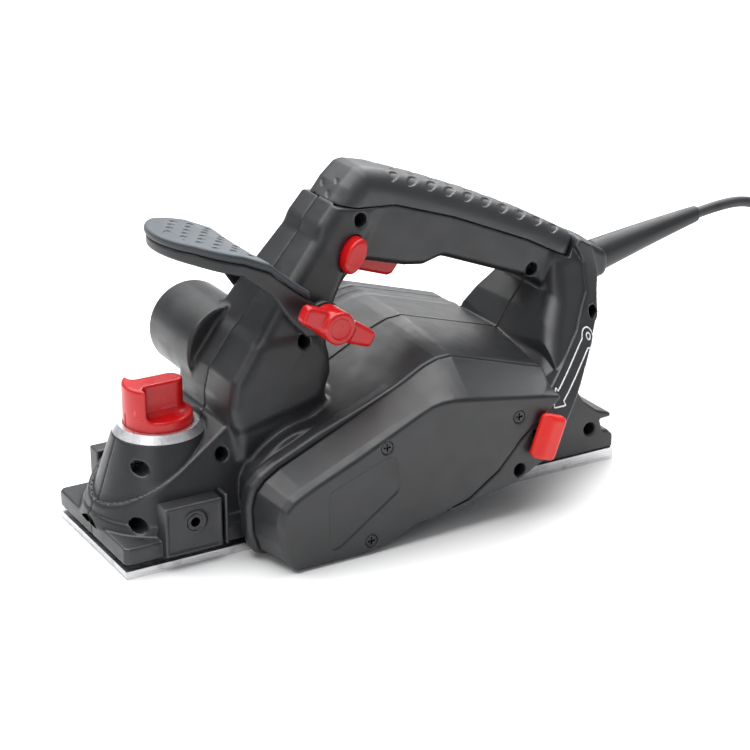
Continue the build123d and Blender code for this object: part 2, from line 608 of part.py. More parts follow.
def brush_parts():
    """Holders, carbons and springs, one of each on either side of the commutator."""
    holders, carbons, springs = [], [], []
    for side in (-1, 1):
        def span(a, b):
            return sorted((MOTOR_X + side * a, MOTOR_X + side * b))
        tube = block(*span(12.5, 29), 31, 41, MOTOR_Z - 5, MOTOR_Z + 5)
        tube -= block(*span(12, 27.5), 32.95, 39.05, MOTOR_Z - 3.05, MOTOR_Z + 3.05)
        holders.append(tube)
        carbons.append(block(*span(11.2, 20), 33, 39, MOTOR_Z - 3, MOTOR_Z + 3))
        spring = toward(MOTOR_X + side * 20.1, 36, MOTOR_Z, (side, 0, 0), coil_spring(2.2, 0.5, 6, 7.2))
        springs.append(spring)
    return group(holders), group(carbons), group(springs)


# ---- switch, trigger and lock ----
def switch_module():
    case = block(158, 196, -11, 11, *SWITCH_Z)
    return case - block(163.4, 172.6, -4, 4, 136, 147)


def trigger():
    outline = [(148.2, 133), (147.7, 124.8), (150, 123), (166.8, 117.2), (169.6, 117.8), (174.6, 124.2),
               (174.6, 133)]
    body = side_prism(outline, -9, 9) + rod(TRIGGER_PIN_X, TRIGGER_PIN_Z, 3.2, -9, 9)
    return body - rod(TRIGGER_PIN_X, TRIGGER_PIN_Z, TRIGGER_PIN_R + RUN, -10, 10)


def trigger_pin():
    return rod(TRIGGER_PIN_X, TRIGGER_PIN_Z, TRIGGER_PIN_R, -16.9, 16.9)


def switch_plunger():
    return block(165, 171, -3, 3, 133, 141.5)


def trigger_spring():
    return Pos(159.8, 0, 133.05) * coil_spring(1.6, 0.5, 4, 3.9)


def lock_button():
    button = ellipse_y(BUTTON_LONG, BUTTON_SHORT, -28.5, -12.8)
    return button + ellipse_y(BUTTON_LONG + 1.4, BUTTON_SHORT + 1.4, -12.9, -11.4)


def lock_spring():
    return toward(BUTTON_X, -11.35, BUTTON_Z, (0, 1, 0), coil_spring(3.2, 0.8, 4, 7.3))


def capacitor():
    can = block(202, 222, -7, 7, *CAPACITOR_Z)
    return fillet(can.edges().filter_by(Axis.Z), 1.2)


# ---- palm rest ----
def palm_plan(inset):
    """Outline seen from above: a round paddle that forks into two arms beside the column."""
    half = PALM_HALF - inset
    tip = Pos(38.4 + PALM_HALF, 0) * Circle(half)
    back = Pos(101.2, 0) * Rectangle(57.6, 2 * half)
    crotch = Pos(108, 0) * Rectangle(34, 2 * 29.5) + Pos(91, 0) * Ellipse(6, 29.5)
    return tip + back - crotch


def drop(points, depth):
    return [(x, z - depth) for x, z in reversed(points)]


def palm_rest_pad():
    top = PALM_TOP + drop(PALM_TOP, PALM_PAD_THICK)
    return plan_prism(palm_plan(0.0), 90, 180) & side_prism(top, -40, 40)


def palm_rest_base():
    under = [(x, z - PALM_PAD_THICK) for x, z in PALM_TOP]
    lower = [(106, 103), (98, 112), (88, 127), (72, 140.5), (50, 147.5), (37.5, 150.5)]
    outline = under + [(112, 119), (118, 121)] + [(118, 101)] + lower
    plate = plan_prism(palm_plan(0.8), 80, 180) & side_prism(outline, -40, 40)
    for side in (-1, 1):
        ear = rod(PIVOT_X, PIVOT_Z, 12.5, *sorted((side * 29.5, side * (PALM_HALF - 0.8))))
        plate += ear
    return plate - rod(PIVOT_X, PIVOT_Z, PALM_BOLT_R + RUN, -50, 50)


def palm_rest_bolt():
    head = extrude(Pos(0, PALM_HALF - 0.5, 0) * (Plane.XZ * (Pos(PIVOT_X, PIVOT_Z) * RegularPolygon(5.2, 6))),
                   amount=4, dir=(0, 1, 0))
    return head + rod(PIVOT_X, PIVOT_Z, PALM_BOLT_R, -46, PALM_HALF)


def wing_knob():
    hub = rod(PIVOT_X, PIVOT_Z, 8.5, -50, -PALM_HALF + 0.5)
    wing = Pos(PIVOT_X, -43.5, PIVOT_Z) * Rot(0, 28, 0) * Box(47, 8, 12)
    knob = hub + wing
    return knob - rod(PIVOT_X, PIVOT_Z, PALM_BOLT_R + RUN, -46.5, 0)


# ---- blade wrench, kept in the housing ----
def wrench_blade():
    return block(WRENCH_X - 4.5, WRENCH_X + 4.5, FACE_Y - 1, 14, WRENCH_Z - 1.5, WRENCH_Z + 1.5)


def wrench_grip():
    grip = Pos(WRENCH_X, FACE_Y - 4.1, WRENCH_Z) * Rot(0, 20, 0) * Box(14, 7.8, 24)
    return fillet(grip.edges(), 2.2) - wrench_blade()


# ---- mains lead ----
RELIEF_TIP = (372.0, 0.0, 115.4)
CORD_ROUTE = [RELIEF_TIP, (392, 0, 118.5), (411, -1, 117), (427, -3, 108), (438, -5, 93), (444, -7, 75),
              (447, -8, 56), (451, -8.5, 37), (460, -8, 20), (473, -6.5, 8.5), (489, -5, 3.4), (505, -4, 3.4)]
COIL_MEAN_R, COIL_COLUMNS, COIL_LAYERS = 34.0, 3, 4
COIL_FLOOR = 0.3                    # the coil's lowest point above the soles' plane
PLUG_LENGTH, PLUG_WIDTH, PLUG_HEIGHT = 36.0, 26.0, 13.6
PLUG_Z = 7.1
PIN_R, PIN_LENGTH, PIN_SPACING = 2.0, 19.0, 18.6


def strain_relief():
    """A tapered rubber sleeve, slightly bent upwards, with a neck and a tail inside the housing."""
    sections = 8
    wires = []
    for k in range(sections):
        t = k / (sections - 1)
        x = CORD_EXIT_X + 1.1 + t * (RELIEF_TIP[0] - CORD_EXIT_X - 1.1)
        z = CORD_Z + (RELIEF_TIP[2] - CORD_Z) * (1.1 * t - 0.1 * t * t)
        radius = RELIEF_ROOT_R + (CORD_R + 1.4 - RELIEF_ROOT_R) * t
        slope = 0.2 - 0.045 * t if k else 0.0
        plane = Plane(origin=(x, 0, z), x_dir=(0, 1, 0), z_dir=(1, 0, slope))
        wires.append(Wire.make_circle(radius, plane))
    sleeve = Solid.make_loft(wires, ruled=True)
    neck = toward(292, 0, CORD_Z, (1, 0, 0), Cylinder(RELIEF_NECK_R, 18))
    tail = toward(274, 0, CORD_Z, (1, 0, 0), Cylinder(RELIEF_TAIL_R, 24))
    return sleeve + neck + tail


def cord_clamp():
    bar = block(268, 276, -14, 14, CLAMP_Z - 4, CLAMP_Z)
    saddle = toward(CLAMP_X, 0, CORD_Z, (1, 0, 0), Cylinder(RELIEF_TAIL_R + SNUG, 20))
    for y in CLAMP_SCREW_Y:
        bar -= post(CLAMP_X, y, 1.7, CLAMP_Z - 5, CLAMP_Z + 1)
    return bar - saddle


def cord_clamp_screws():
    return group([post(CLAMP_X, y, 2.8, CLAMP_Z - 6, CLAMP_Z - 4.02)
                  + post(CLAMP_X, y, 1.4, CLAMP_Z - 4.1, CLAMP_Z + 8) for y in CLAMP_SCREW_Y])


def corner_radii(route):
    """For each corner, an arc as large as its two straight runs allow."""
    radii = []
    for before, corner, after in zip(route, route[1:], route[2:]):
        run_in = Vector(*corner) - Vector(*before)
        run_out = Vector(*after) - Vector(*corner)
        half_turn = radians(run_in.get_angle(run_out)) / 2
        radii.append(0.45 * min(run_in.length, run_out.length) / tan(half_turn))
    return radii


def cord_path():
    return FilletPolyline(*CORD_ROUTE, radius=corner_radii(CORD_ROUTE))


def mains_cord():
    path = cord_path()
    section = Plane(path @ 0, z_dir=path % 0) * Circle(CORD_R)
    tube = sweep(section, path=path)
    radii = ", ".join(f"{radius:.0f}" for radius in corner_radii(CORD_ROUTE))
    print(f"cord: path {path.length:.1f} mm, volume {tube.volume:.0f} mm3,"
          f" section x length {pi * CORD_R ** 2 * path.length:.0f} mm3, radii {radii}")
    return tube


def coil_centre():
    """The coil's outermost turn runs through the end of the route."""
    end = CORD_ROUTE[-1]
    outer_turn = COIL_MEAN_R + (COIL_COLUMNS - 1) * CORD_R
    return end[0] + COIL_MEAN_R + COIL_COLUMNS * CORD_R + 1.5, end[1] + outer_turn


def cord_coil():
    """The put-away length: the outer shape of a round coil, and the cord's two short ends."""
    x, y = coil_centre()
    half_width = COIL_COLUMNS * CORD_R
    height = 2 * COIL_LAYERS * CORD_R
    coil = post(x, y, COIL_MEAN_R + half_width, COIL_FLOOR, COIL_FLOOR + height)
    coil -= post(x, y, COIL_MEAN_R - half_width, COIL_FLOOR - 1, COIL_FLOOR + height + 1)
    end = Vector(*CORD_ROUTE[-1])
    heading = end - Vector(*CORD_ROUTE[-2])
    entry = toward(*CORD_ROUTE[-1], heading, Pos(0, 0, 20) * Cylinder(CORD_R, 40))
    leave = rod(plug_x(), PLUG_Z, CORD_R, y + 10, y + PLUG_START)
    return coil + entry + leave


PLUG_START = 30.0                   # from the coil's centre, along Y


def plug_x():
    return coil_centre()[0] + COIL_MEAN_R + (COIL_COLUMNS - 1) * CORD_R


def mains_plug():
    """A two-pin plug with a tapering body and a short sleeve on the cord."""
    x, y = plug_x(), coil_centre()[1] + PLUG_START
    wires = []
    for along, half_width, half_height in ((0, 4.3, 4.3), (9, 5.2, 5.0), (14, 8.5, 6.4), (22, 12.2, 6.8),
                                           (PLUG_LENGTH, PLUG_WIDTH / 2, PLUG_HEIGHT / 2)):
        frame = Plane(origin=(x, y + along, PLUG_Z), x_dir=(1, 0, 0), z_dir=(0, 1, 0))
        corner = min(half_width, half_height) * 0.8
        outline = frame * RectangleRounded(2 * half_width, 2 * half_height, corner)
        wires.append(outline.wire())
    body = Solid.make_loft(wires, ruled=True)
    for side in (-1, 1):
        body -= rod(x + side * PIN_SPACING / 2, PLUG_Z, PIN_R, y + PLUG_LENGTH - 8, y + PLUG_LENGTH + 1)
    return body


def plug_pins():
    x, y = plug_x(), coil_centre()[1] + PLUG_START + PLUG_LENGTH
    pins = []
    for side in (-1, 1):
        pin = rod(x + side * PIN_SPACING / 2, PLUG_Z, PIN_R, y - 8, y + PIN_LENGTH)
        tip = pin.faces().sort_by(Axis.Y)[-1]
        pins.append(fillet(tip.edges(), 1.2))
    return group(pins)


# ---- every sub-part, by the name of its node ----
def ball_bearing(x, z, outer, shaft, span):
    body = ring_y(x, z, outer, shaft + RUN, *span)
    for y in span:
        body -= ring_y(x, z, outer - 2.2, shaft + 2.0, y - 0.5, y + 0.5)
    return body


def save(name, shape):
    export_step(Pos(-MOTOR_X, 0, 0) * shape, f"parts/{name}.step")


def main():
    os.makedirs("parts", exist_ok=True)
    left, right = housing_halves(belt_cover_form())
    holders, carbons, brush_springs = brush_parts()
    pieces = {
        "housing_left": left,
        "housing_right": right,
        "motor_end_cap": motor_end_cap(),
        "belt_cover": belt_cover(),
        "handle_grip": handle_with_grip(),
        "housing_screws": housing_screws(),
        "belt_cover_screws": belt_cover_screws(),
        "end_cap_screws": end_cap_screws(),
        "rear_sole": rear_sole(),
        "rear_sole_screws": rear_sole_screws(),
        "front_sole": front_sole(),
        "front_sole_springs": front_sole_springs(),
        "depth_spindle": depth_spindle(),
        "depth_knob": depth_knob(),
        "depth_scale_ring": depth_scale_ring(),
        "fence_nuts": fence_nuts(),
        "cutter_drum": cutter_drum(),
        "blade_1": blade(0),
        "blade_2": blade(180),
        "blade_clamps": blade_clamps(),
        "clamp_screws": clamp_screws(),
        "drum_bearing_left": ball_bearing(DRUM_X, DRUM_Z, DRUM_BEARING_R, DRUM_SHAFT_R, LEFT_BEARING_Y),
        "drum_bearing_right": ball_bearing(DRUM_X, DRUM_Z, DRUM_BEARING_R, DRUM_SHAFT_R,
                                           DRUM_RIGHT_BEARING_Y),
        "drum_pulley": pulley(DRUM_X, DRUM_Z, DRUM_PULLEY_R, DRUM_SHAFT_R + SNUG, *PULLEY_Y),
        "motor_pulley": pulley(MOTOR_X, MOTOR_Z, MOTOR_PULLEY_R, SHAFT_R + SNUG, *PULLEY_Y),
        "drive_belt": drive_belt(),
        "armature_shaft": rod(MOTOR_X, MOTOR_Z, SHAFT_R, PULLEY_Y[0] + 0.5, RIGHT_BEARING_Y[1] + 0.6),
        "armature_core": armature_core(),
        "armature_windings": armature_windings(),
        "commutator": commutator(),
        "cooling_fan": cooling_fan(),
        "motor_bearing_left": ball_bearing(MOTOR_X, MOTOR_Z, MOTOR_BEARING_R, SHAFT_R, LEFT_BEARING_Y),
        "motor_bearing_right": ball_bearing(MOTOR_X, MOTOR_Z, MOTOR_BEARING_R, SHAFT_R, RIGHT_BEARING_Y),
        "stator_core": stator_core(),
        "field_windings": field_windings(),
        "brush_holders": holders,
        "carbon_brushes": carbons,
        "brush_springs": brush_springs,
        "switch_module": switch_module(),
        "switch_plunger": switch_plunger(),
        "capacitor": capacitor(),
        "trigger": trigger(),
        "trigger_pin": trigger_pin(),
        "trigger_spring": trigger_spring(),
        "lock_button": lock_button(),
        "lock_spring": lock_spring(),
        "cord_clamp": cord_clamp(),
        "cord_clamp_screws": cord_clamp_screws(),
        "palm_rest_base": palm_rest_base(),
        "palm_rest_pad": palm_rest_pad(),
        "palm_rest_bolt": palm_rest_bolt(),
        "wing_knob": wing_knob(),
        "wrench_blade": wrench_blade(),
        "wrench_grip": wrench_grip(),
        "strain_relief": strain_relief(),
        "mains_cord": mains_cord(),
        "cord_coil": cord_coil(),
        "mains_plug": mains_plug(),
        "plug_pins": plug_pins(),
    }
    for name, shape in pieces.items():
        save(name, shape)
    print(f"{len(pieces)} sub-parts written")


if __name__ == "__main__":
    main()
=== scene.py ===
import itertools
import json
import math

import bpy
import numpy as np
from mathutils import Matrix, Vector


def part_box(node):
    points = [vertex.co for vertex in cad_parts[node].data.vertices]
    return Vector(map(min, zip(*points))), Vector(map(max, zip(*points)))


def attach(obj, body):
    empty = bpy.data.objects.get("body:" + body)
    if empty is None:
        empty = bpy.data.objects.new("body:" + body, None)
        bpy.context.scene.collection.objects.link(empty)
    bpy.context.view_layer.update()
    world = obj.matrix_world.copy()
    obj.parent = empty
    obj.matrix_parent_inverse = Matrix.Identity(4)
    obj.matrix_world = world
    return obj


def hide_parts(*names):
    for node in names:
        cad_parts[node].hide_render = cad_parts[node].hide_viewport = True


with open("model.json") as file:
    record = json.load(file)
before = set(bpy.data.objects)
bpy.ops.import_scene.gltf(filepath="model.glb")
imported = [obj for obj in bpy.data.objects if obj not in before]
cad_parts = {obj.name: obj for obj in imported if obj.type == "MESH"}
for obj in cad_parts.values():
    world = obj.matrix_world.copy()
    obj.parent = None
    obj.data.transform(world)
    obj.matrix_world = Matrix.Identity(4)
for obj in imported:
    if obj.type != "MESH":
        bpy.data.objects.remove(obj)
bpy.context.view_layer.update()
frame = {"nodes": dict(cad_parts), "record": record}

# Shapes below are written in millimetres in the design's own axes: X from the soles' front edge
# to the rear, -Y to the belt side, Z up from the soles. FRONT moves them to the row's frame.
MM = 0.001
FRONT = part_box("front_sole")[0].x
DETAIL = 1.0


def row_point(point):
    return (FRONT + point[0] * MM, point[1] * MM, point[2] * MM)


# ---- signed distances: negative inside, in millimetres ----
def meet(*fields, r=0.0):
    """The room that all the fields share, its edges rounded by r."""
    total = fields[0]
    for other in fields[1:]:
        if r:
            corner = np.hypot(np.maximum(total + r, 0), np.maximum(other + r, 0)) - r
            total = corner + np.minimum(np.maximum(total, other) + r, 0)
        else:
            total = np.maximum(total, other)
    return total


def join(*fields, r=0.0):
    """All the fields together, with a fillet r where they meet."""
    return -meet(*[-field for field in fields], r=r)


def less(field, room, r=0.0):
    return meet(field, -room, r=r)


def span(v, low, high):
    return np.maximum(low - v, v - high)


def disc(u, v, at_u, at_v, radius):
    return np.hypot(u - at_u, v - at_v) - radius


def cuboid(x, y, z, xs, ys, zs, r=0.0):
    return meet(span(x, *xs), span(y, *ys), span(z, *zs), r=r)


def eased(points, radius, steps=4):
    """The outline with a curve in place of each corner."""
    curve = []
    for k, corner in enumerate(points):
        corner = np.array(corner, float)
        neighbours = points[k - 1], points[(k + 1) % len(points)]
        runs = [np.array(point, float) - corner for point in neighbours]
        lengths = [np.linalg.norm(run) for run in runs]
        cosine = np.clip(runs[0] @ runs[1] / (lengths[0] * lengths[1]), -1, 1)
        half = math.acos(cosine) / 2
        reach = radius / math.tan(half) if half > 0.02 else radius
        reach = min(reach, 0.45 * lengths[0], 0.45 * lengths[1])
        ends = [corner + run / length * reach for run, length in zip(runs, lengths)]
        for t in np.linspace(0, 1, steps + 1) if reach > 0.05 else [0.5]:
            curve.append((1 - t) ** 2 * ends[0] + 2 * t * (1 - t) * corner + t * t * ends[1])
    return [tuple(point) for point in curve]


def outline(points, u, v, radius=0.0):
    """Distance to a closed outline in the plane of u and v."""
    if radius:
        points = eased(points, radius)
    u, v = np.broadcast_arrays(u, v)
    nearest = np.full(u.shape, 1e9, np.float32)
    outside = np.ones(u.shape, bool)
    for (au, av), (bu, bv) in zip(points, points[1:] + points[:1]):
        eu, ev = bu - au, bv - av
        wu, wv = u - au, v - av
        t = np.clip((wu * eu + wv * ev) / (eu * eu + ev * ev + 1e-12), 0, 1)
        nearest = np.minimum(nearest, (wu - eu * t) ** 2 + (wv - ev * t) ** 2)
        crossed = ((av > v) != (bv > v)) & ((eu * wv < ev * wu) == (ev > 0))
        outside ^= crossed
    distance = np.sqrt(nearest)
    return np.where(outside, distance, -distance).astype(np.float32)


def turn_about(u, v, at_u, at_v, degrees):
    """Coordinates along and across a direction, from a point."""
    c, s = math.cos(math.radians(degrees)), math.sin(math.radians(degrees))
    du, dv = u - at_u, v - at_v
    return du * c + dv * s, dv * c - du * s


def dimples(u, v, pitch, row, long, short, tilt):
    """Staggered rows of slanted ovals."""
    line = np.round(v / row)
    along = u + 0.5 * pitch * (line % 2)
    along = along - pitch * np.round(along / pitch)
    a, b = turn_about(along, v - row * line, 0, 0, tilt)
    return (np.hypot(a / long, b / short) - 1) * short


# ---- meshes ----
def skin(form, low, high, step):
    """Points and quads on a form's skin: one point in each grid cell that the skin crosses."""
    axes = [np.arange(a - 1.5 * step, b + 2.5 * step, step, dtype=np.float32) for a, b in zip(low, high)]
    x, y, z = axes[0][:, None, None], axes[1][None, :, None], axes[2][None, None, :]
    field = np.broadcast_to(form(x, y, z), [len(a) for a in axes])
    solid = field < 0
    cells_in = np.array(field.shape) - 1
    corners = list(itertools.product((0, 1), repeat=3))
    count = np.zeros(cells_in, np.int8)
    for corner in corners:
        count += solid[tuple(slice(c, c + n) for c, n in zip(corner, cells_in))]
    mixed = (count > 0) & (count < 8)
    cells = np.argwhere(mixed)
    number = np.full(cells_in, -1, np.int32)
    number[mixed] = np.arange(len(cells))
    values = {corner: field[tuple((cells + corner).T)] for corner in corners}
    place = np.zeros((len(cells), 3))
    hits = np.zeros(len(cells))
    for corner in corners:
        for axis in range(3):
            if corner[axis]:
                continue
            other = tuple(c + (n == axis) for n, c in enumerate(corner))
            crossed = (values[corner] < 0) != (values[other] < 0)
            change = np.where(crossed, values[corner] - values[other], 1)
            place += crossed[:, None] * np.array(corner)
            place[:, axis] += np.where(crossed, values[corner] / change, 0)
            hits += crossed
    points = np.array([a[0] for a in axes]) + (cells + place / hits[:, None]) * step
    quads = []
    for axis in range(3):
        u, v = (axis + 1) % 3, (axis + 2) % 3
        low_side, high_side = [None] * 3, [None] * 3
        for n in range(3):
            low_side[n] = high_side[n] = slice(1, cells_in[n])
        low_side[axis], high_side[axis] = slice(0, cells_in[axis]), slice(1, cells_in[axis] + 1)
        first, second = solid[tuple(low_side)], solid[tuple(high_side)]
        at = np.argwhere(first != second)
        outward = first[tuple(at.T)]
        at = at + [0 if n == axis else 1 for n in range(3)]
        back_u, back_v = np.eye(3, dtype=int)[u], np.eye(3, dtype=int)[v]
        ring = np.stack([number[tuple((at - shift).T)] for shift in
                         (0 * back_u, back_u, back_u + back_v, back_v)], 1)
        quads.append(np.where(outward[:, None], ring, ring[:, ::-1]))
    return points, np.concatenate(quads)


def mesh_object(name, points, faces):
    """An object from points in the design's millimetres and faces that all have as many corners."""
    mesh = bpy.data.meshes.new(name)
    points = np.asarray(points, float) * MM + [FRONT, 0, 0]
    faces = np.asarray(faces, np.int32)
    mesh.vertices.add(len(points))
    mesh.vertices.foreach_set("co", points.astype(np.float32).ravel())
    mesh.loops.add(faces.size)
    mesh.loops.foreach_set("vertex_index", faces.ravel())
    mesh.polygons.add(len(faces))
    mesh.polygons.foreach_set("loop_start", np.arange(len(faces), dtype=np.int32) * faces.shape[1])
    mesh.update(calc_edges=True)
    mesh.validate()
    mesh.shade_smooth()
    made = bpy.data.objects.new(name, mesh)
    bpy.context.scene.collection.objects.link(made)
    return made


def thin(made, faces):
    """Fewer faces where the surface is flat."""
    if len(made.data.polygons) * 2 <= faces:
        return
    modifier = made.modifiers.new("thin", "DECIMATE")
    modifier.ratio = faces / (len(made.data.polygons) * 2)
    evaluated = made.evaluated_get(bpy.context.evaluated_depsgraph_get())
    mesh = bpy.data.meshes.new_from_object(evaluated)
    made.modifiers.clear()
    made.data = mesh
    mesh.shade_smooth()


def carved(name, form, low, high, step, body, slot, nodes, faces=60000):
    """A piece whose skin is the form's, in place of CAD nodes."""
    made = mesh_object(name, *skin(form, low, high, step * DETAIL))
    thin(made, faces)
    return dress(made, body, slot, nodes)


def dress(made, body, slot, nodes=()):
    made.data.materials.clear()
    made.data.materials.append(MATERIALS[slot])
    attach(made, body)
    if nodes:
        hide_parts(*nodes)
    return made


# ---- materials ----
class Paint:
    """A material's nodes, from the object's own coordinates to one Principled shader."""

    def __init__(self, name, roughness, metallic=0.0, coat=0.0, specular=0.5):
        self.material = bpy.data.materials.new(name)
        self.material.use_nodes = True
        self.tree = self.material.node_tree
        self.tree.nodes.clear()
        self.shader = self.tree.nodes.new("ShaderNodeBsdfPrincipled")
        out = self.tree.nodes.new("ShaderNodeOutputMaterial")
        self.link(self.shader.outputs[0], out.inputs["Surface"])
        for socket, value in (("Roughness", roughness), ("Metallic", metallic), ("Coat Weight", coat),
                              ("Specular IOR Level", specular)):
            self.shader.inputs[socket].default_value = value
        self.where = self.tree.nodes.new("ShaderNodeTexCoord").outputs["Object"]

    def link(self, a, b):
        self.tree.links.new(a, b)

    def node(self, kind, values=(), **settings):
        made = self.tree.nodes.new("ShaderNode" + kind)
        for key, value in settings.items():
            setattr(made, key, value)
        for socket, value in dict(values).items():
            if isinstance(value, bpy.types.NodeSocket):
                self.link(value, made.inputs[socket])
            else:
                made.inputs[socket].default_value = value
        return made

    def stretched(self, scale):
        return self.node("Mapping", {"Vector": self.where, "Scale": scale}).outputs[0]

    def noise(self, scale, detail=2.0, where=None, roughness=0.5):
        return self.node("TexNoise", {"Vector": where or self.where, "Scale": scale, "Detail": detail,
                                      "Roughness": roughness}).outputs["Fac"]

    def ramp(self, value, low, high, to_low=0.0, to_high=1.0):
        return self.node("MapRange", {"Value": value, "From Min": low, "From Max": high, "To Min": to_low,
                                      "To Max": to_high}).outputs[0]

    def mix(self, share, a, b):
        made = self.tree.nodes.new("ShaderNodeMix")
        made.data_type = "RGBA"
        self.link(share, made.inputs[0])
        for index, value in ((6, a), (7, b)):
            if isinstance(value, bpy.types.NodeSocket):
                self.link(value, made.inputs[index])
            else:
                made.inputs[index].default_value = (*value, 1)
        return made.outputs[2]

    def multiply(self, a, b):
        return self.node("Math", {0: a, 1: b}, operation="MULTIPLY").outputs[0]

    def edges(self, low=0.52, high=0.6):
        return self.ramp(self.node("NewGeometry").outputs["Pointiness"], low, high)

    def colour(self, socket):
        self.link(socket, self.shader.inputs["Base Color"])

    def rough(self, value, low, high):
        self.link(self.ramp(value, 0.3, 0.7, low, high), self.shader.inputs["Roughness"])

    def bump(self, heights):
        """Bumps on bumps: each is a height, its strength and its depth in metres."""
        normal = None
        for height, strength, depth in heights:
            values = {"Height": height, "Strength": strength, "Distance": depth}
            if normal:
                values["Normal"] = normal
            normal = self.node("Bump", values).outputs[0]
        self.link(normal, self.shader.inputs["Normal"])


def moulded(name, dark, light, edge, roughness, grain=1500.0, depth=0.00006, speckle=0.0, specular=0.5):
    """Moulded plastic or rubber: a fine grain, faint cloudiness, a few pale specks, and edges painted
    lighter, partly as rubbed wear and partly as a painted highlight.
    """
    paint = Paint(name, roughness, specular=specular)
    cloud = paint.noise(38.0, 4.0)
    colour = paint.mix(paint.ramp(cloud, 0.3, 0.7), dark, light)
    if speckle:
        speck = paint.ramp(paint.noise(grain * 1.3, 1.0), 0.69, 0.74, 0.0, speckle)
        colour = paint.mix(speck, colour, edge)
    # Painted highlight: convex edges blend in patches towards the pale edge colour, partly rubbed wear and
    # partly standing in for light catching the edges.
    wear_and_highlight = paint.multiply(paint.edges(), paint.ramp(paint.noise(160.0, 3.0), 0.35, 0.65, 0.25, 1.0))
    paint.colour(paint.mix(wear_and_highlight, colour, edge))
    paint.rough(paint.noise(90.0, 5.0), roughness - 0.06, roughness + 0.07)
    paint.bump([(paint.noise(grain, 3.0, roughness=0.6), 0.55, depth), (cloud, 0.15, 0.0002)])
    return paint.material


def metal(name, dark, light, roughness, stretch, depth=0.00002, scale=1.0, tarnish=(0.2, 0.19, 0.18)):
    """Metal with fine lines along the axis whose stretch is small, and light scuffs."""
    paint = Paint(name, roughness, metallic=1.0)
    lines = paint.noise(scale, 4.0, paint.stretched(stretch), 0.65)
    scuff = paint.ramp(paint.noise(120.0, 6.0), 0.55, 0.75, 0.0, 0.55)
    colour = paint.mix(paint.ramp(lines, 0.35, 0.65), dark, light)
    paint.colour(paint.mix(scuff, colour, tarnish))
    paint.rough(lines, roughness - 0.08, roughness + 0.12)
    paint.bump([(lines, 0.5, depth)])
    return paint.material


def palm_rubber():
    """Soft rubber coloured by which way it faces: a lighter blue-grey on upward faces as painted light, and
    a darker tone on the sides below its edge as painted shade.
    """
    paint = Paint("palm_rubber", 0.5)
    up = paint.node("SeparateXYZ", {0: paint.node("NewGeometry").outputs["Normal"]}).outputs[2]
    cloud = paint.noise(45.0, 4.0)
    top = paint.mix(paint.ramp(cloud, 0.3, 0.7), (0.066, 0.079, 0.092), (0.088, 0.102, 0.116))
    side = paint.mix(paint.ramp(cloud, 0.3, 0.7), (0.02, 0.025, 0.03), (0.03, 0.036, 0.042))
    # Painted light and shade: the normal's upward part picks the colour, so upward faces are painted lit and
    # the sides painted shaded.
    paint.colour(paint.mix(paint.ramp(up, 0.35, 0.75), side, top))
    paint.rough(cloud, 0.42, 0.56)
    paint.bump([(paint.noise(1700.0, 3.0), 0.5, 0.00005)])
    return paint.material


def laminated(name):
    """Stacked steel sheets, seen edge on along Y."""
    paint = Paint(name, 0.45, metallic=1.0)
    sheets = paint.node("TexWave", {"Vector": paint.where, "Scale": 320.0, "Distortion": 0.4},
                        bands_direction="Y").outputs["Fac"]
    paint.colour(paint.mix(sheets, (0.16, 0.15, 0.15), (0.42, 0.42, 0.43)))
    paint.rough(paint.noise(300.0), 0.35, 0.55)
    paint.bump([(sheets, 0.6, 0.0001)])
    return paint.material


def wound(name):
    """Enamelled copper wire, wound in fine turns."""
    paint = Paint(name, 0.3, metallic=1.0, coat=0.4)
    turns = paint.node("TexWave", {"Vector": paint.where, "Scale": 420.0, "Distortion": 1.5,
                                   "Detail": 2.0}).outputs["Fac"]
    paint.colour(paint.mix(turns, (0.25, 0.06, 0.02), (0.75, 0.3, 0.12)))
    paint.rough(paint.noise(200.0), 0.25, 0.4)
    paint.bump([(turns, 0.8, 0.0003)])
    return paint.material


